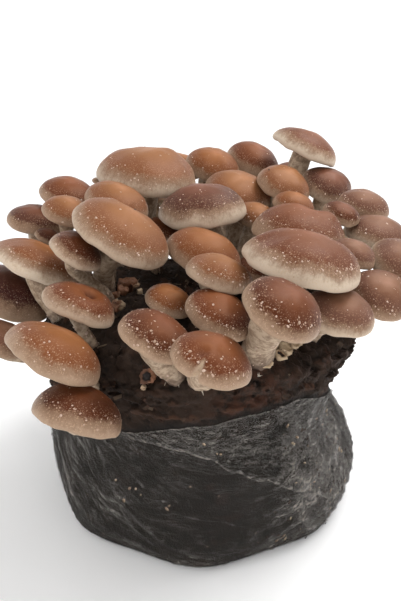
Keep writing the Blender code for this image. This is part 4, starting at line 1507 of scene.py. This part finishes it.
def thread(body, start, heading, long, thick):
    """One tapered thread that wanders, as a chain of rings closed to a point."""
    first = len(body.corners)
    place = start.copy()
    for step in range(THREAD_STEPS):
        across, ahead = on_end(heading)
        width = thick * (1 - step / THREAD_STEPS)
        for turn in range(THREAD_SIDES):
            angle = math.tau * turn / THREAD_SIDES
            body.corners.append(place + (across * math.cos(angle) + ahead * math.sin(angle)) * width)
        heading = (heading + anywhere(THREAD_WANDERS)).normalized()
        place = place + heading * long / THREAD_STEPS
    body.corners.append(place)
    tip = len(body.corners) - 1
    faces = []
    for step in range(THREAD_STEPS - 1):
        for turn in range(THREAD_SIDES):
            low = first + step * THREAD_SIDES
            high = low + THREAD_SIDES
            beside = (turn + 1) % THREAD_SIDES
            faces.append((low + turn, low + beside, high + beside, high + turn))
    low = first + (THREAD_STEPS - 1) * THREAD_SIDES
    faces += [(low + turn, low + (turn + 1) % THREAD_SIDES, tip) for turn in range(THREAD_SIDES)]
    faces.append(tuple(first + turn for turn in reversed(range(THREAD_SIDES))))
    body.faces.extend(faces)
    body.kinds.extend([0] * len(faces))


def gathered(name, body, slot, *materials):
    """A piece made of all the small bodies in a heap."""
    mesh = bpy.data.meshes.new(name)
    mesh.from_pydata(body.corners, [], body.faces)
    for material in materials:
        mesh.materials.append(material)
    mesh.polygons.foreach_set("material_index", body.kinds)
    piece = bpy.data.objects.new(name, mesh)
    bpy.context.scene.collection.objects.link(piece)
    outwards(piece)
    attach(piece, "root")


# Mycelium: matt white threads, dusty and browned in patches
mycelium, tree, shader = new_material("mycelium threads", 0.8)
place = add(tree, "TexCoord", output="Object")
dusty = add(tree, "TexNoise", {"Vector": place, "Scale": PER_MM / 5, "Detail": 3})
dusty = add(tree, "MapRange", {"Value": dusty, "From Min": 0.4, "From Max": 0.7}, **EASED)
whites = {0: dusty, 6: linear("#D3C8B8"), 7: linear("#9C8B78")}
tree.links.new(add(tree, "Mix", whites, 2, data_type="RGBA"), shader.inputs["Base Color"])
threads = Scales([], [], [])
for bearing, along, reach, count in TUFTS:
    place, out = on_block(bearing, along)
    for number in range(count):
        across, ahead = on_end(out)
        heading = (across + out * chance.uniform(0.1, 0.7)).normalized()
        thread(threads, place - out * MM, heading, reach * chance.uniform(0.5, 1.1) * MM, 0.35 * MM)
for root, out, wide in feet:
    for number in range(THREADS_ON_FOOT):
        across, ahead = on_end(out)
        start = root + across * wide * 0.9 - out * MM
        heading = (across + out * chance.uniform(-0.2, 0.4)).normalized()
        thread(threads, start, heading, chance.uniform(1.2, 3.2) * MM, 0.4 * MM)
gathered("mycelium_threads", threads, "skin_tan", mycelium)

# Crumbs stuck on the film, each by its bearing, height, length and width: the ones that stand out, then dust.
# A crumb reaches these shares of its length and width to each side
STUCK_SHARES = (0.8, 0.7)
STUCK_THICK = 0.35
STUCK = (
    (-22, 47, 1.6, 1.0),
    (-20, 47.5, 1.1, 0.8),
    (-24, 39, 1.6, 1.2),
    (-10, 40, 1.7, 1.0),
    (-9.4, 41.5, 1.2, 0.5),
    (-3, 53, 0.8, 0.7),
    (1, 76, 1.2, 0.9),
    (6, 70, 0.9, 0.8),
    (-27, 49, 1.1, 0.7),
    (33, 68, 1.7, 1.0),
    (31, 66, 1.2, 0.7),
    (28, 78, 1.6, 0.8),
    (61, 38, 2.6, 1.2),
    (59, 41, 2.2, 1.0),
    (60, 46, 1.8, 0.9),
    (57, 24, 2.2, 1.0),
    (60, 60, 2.0, 1.0),
    (58, 64, 1.6, 0.9),
)

# Dust: how many crumbs, the bearing where most of them lie and how far they spread from it in degrees, the
# heights between which they lie, and their width as a share of their length
DUST = 260
DUST_THICKEST_AT = 48
DUST_SPREADS = 16
DUST_HEIGHTS = (3, 74)
DUST_WIDE = 0.4
DUST_THICK = 0.2


def flap_lift(bearing, height):
    """How far the outermost film stands off the bag, where its top is folded over and where it isn't."""
    beyond = bearing < FLAP[0][0] or bearing > FLAP[-1][0]
    return 0 if beyond or height < between(FLAP, bearing) else FLAP_LIFT


crumbs = Scales([], [], [])
for bearing, height, long, wide in STUCK:
    place = film_wall(bearing, height, flap_lift(bearing, height))[0]
    out = around_block(bearing, 1, 0).normalized()
    fleck(crumbs, place, out, STUCK_SHARES[0] * long, STUCK_SHARES[1] * wide, STUCK_THICK, 0)
for number in range(DUST):
    bearing = chance.gauss(DUST_THICKEST_AT, DUST_SPREADS) if number % 3 else chance.uniform(-180, 180)
    height = chance.uniform(*DUST_HEIGHTS)
    if height > rim(bearing) - 2:
        continue
    place = film_wall(bearing, height, flap_lift(bearing, height))[0]
    out = around_block(bearing, 1, 0).normalized()
    long = 0.3 + 1.1 * chance.random() ** 2
    fleck(crumbs, place, out, long, long * DUST_WIDE, DUST_THICK, chance.choice((0, 1, 1, 1)))

# Dry sawdust: pale brown crumbs, among darker ones of the same bark as the splinters
sawdust, tree, shader = new_material("dry oak sawdust", 0.85)
place = add(tree, "TexCoord", output="Object")
tint = add(tree, "TexNoise", {"Vector": place, "Scale": PER_MM / 3})
tinted = add(tree, "MapRange", {"Value": tint, "From Min": 0.35, "From Max": 0.65}, **EASED)
browns = {0: tinted, 6: linear("#9C8A74"), 7: linear("#6A5645")}
tree.links.new(add(tree, "Mix", browns, 2, data_type="RGBA"), shader.inputs["Base Color"])
gathered("crumbs_on_film", crumbs, "substrate", sawdust, bark)


# Floor and light
# A pale studio sweep that rises all round, a wide soft light from above on the right, and a weaker one on the
# left of the camera, so that the caps shine at their upper right and the gaps stay dark.

# The floor's radius, the rings that it rises by and what the lights face, in metres
FLOOR_WIDE = 0.9
LIT_AT = Vector((0, 0, 0.12))
SWEEP = ((1.05, 0.03), (1.15, 0.12), (1.2, 0.3), (1.2, 1.2))
bpy.ops.object.select_all(action="DESELECT")
below_kit = (0, 0, -0.2 * MM)
bpy.ops.mesh.primitive_circle_add(vertices=96, radius=FLOOR_WIDE, fill_type="NGON", location=below_kit)
floor = bpy.context.object
floor.name = "studio_floor"
bpy.ops.object.mode_set(mode="EDIT")
bpy.ops.mesh.select_mode(type="EDGE")
bpy.ops.mesh.select_all(action="DESELECT")
bpy.ops.mesh.select_non_manifold()
for (near, low), (out, up) in zip(((FLOOR_WIDE, 0), *SWEEP), SWEEP):
    bpy.ops.mesh.extrude_edges_move(TRANSFORM_OT_translate={"value": (0, 0, up - low)})
    bpy.ops.transform.resize(value=(out / near, out / near, 1), center_override=(0, 0, up))
bpy.ops.object.mode_set(mode="OBJECT")
bpy.ops.object.shade_smooth()
paper, tree, shader = new_material("white studio paper", 0.9)
shader.inputs["Base Color"].default_value = linear("#FFFFFF")
floor.data.materials.append(paper)


def soft_light(name, place, size, power, colour="#FFFFFF"):
    bpy.ops.object.light_add(type="AREA", location=place)
    box = bpy.context.object
    box.name = name
    box.data.size = size
    box.data.energy = power
    box.data.color = linear(colour)[:3]
    box.rotation_euler = (LIT_AT - Vector(place)).to_track_quat("-Z", "Y").to_euler()


soft_light("light_above_right", (0.42, 0.2, 0.95), 0.6, 9)
soft_light("light_left_front", (-0.6, -0.7, 0.7), 0.9, 2.5)
world = bpy.data.worlds.new("studio")
world.use_nodes = True
background = world.node_tree.nodes["Background"]
background.inputs["Color"].default_value = linear("#FFFFFF")
background.inputs["Strength"].default_value = 0.6
bpy.context.scene.world = world
bpy.context.scene.view_settings.view_transform = "Standard"
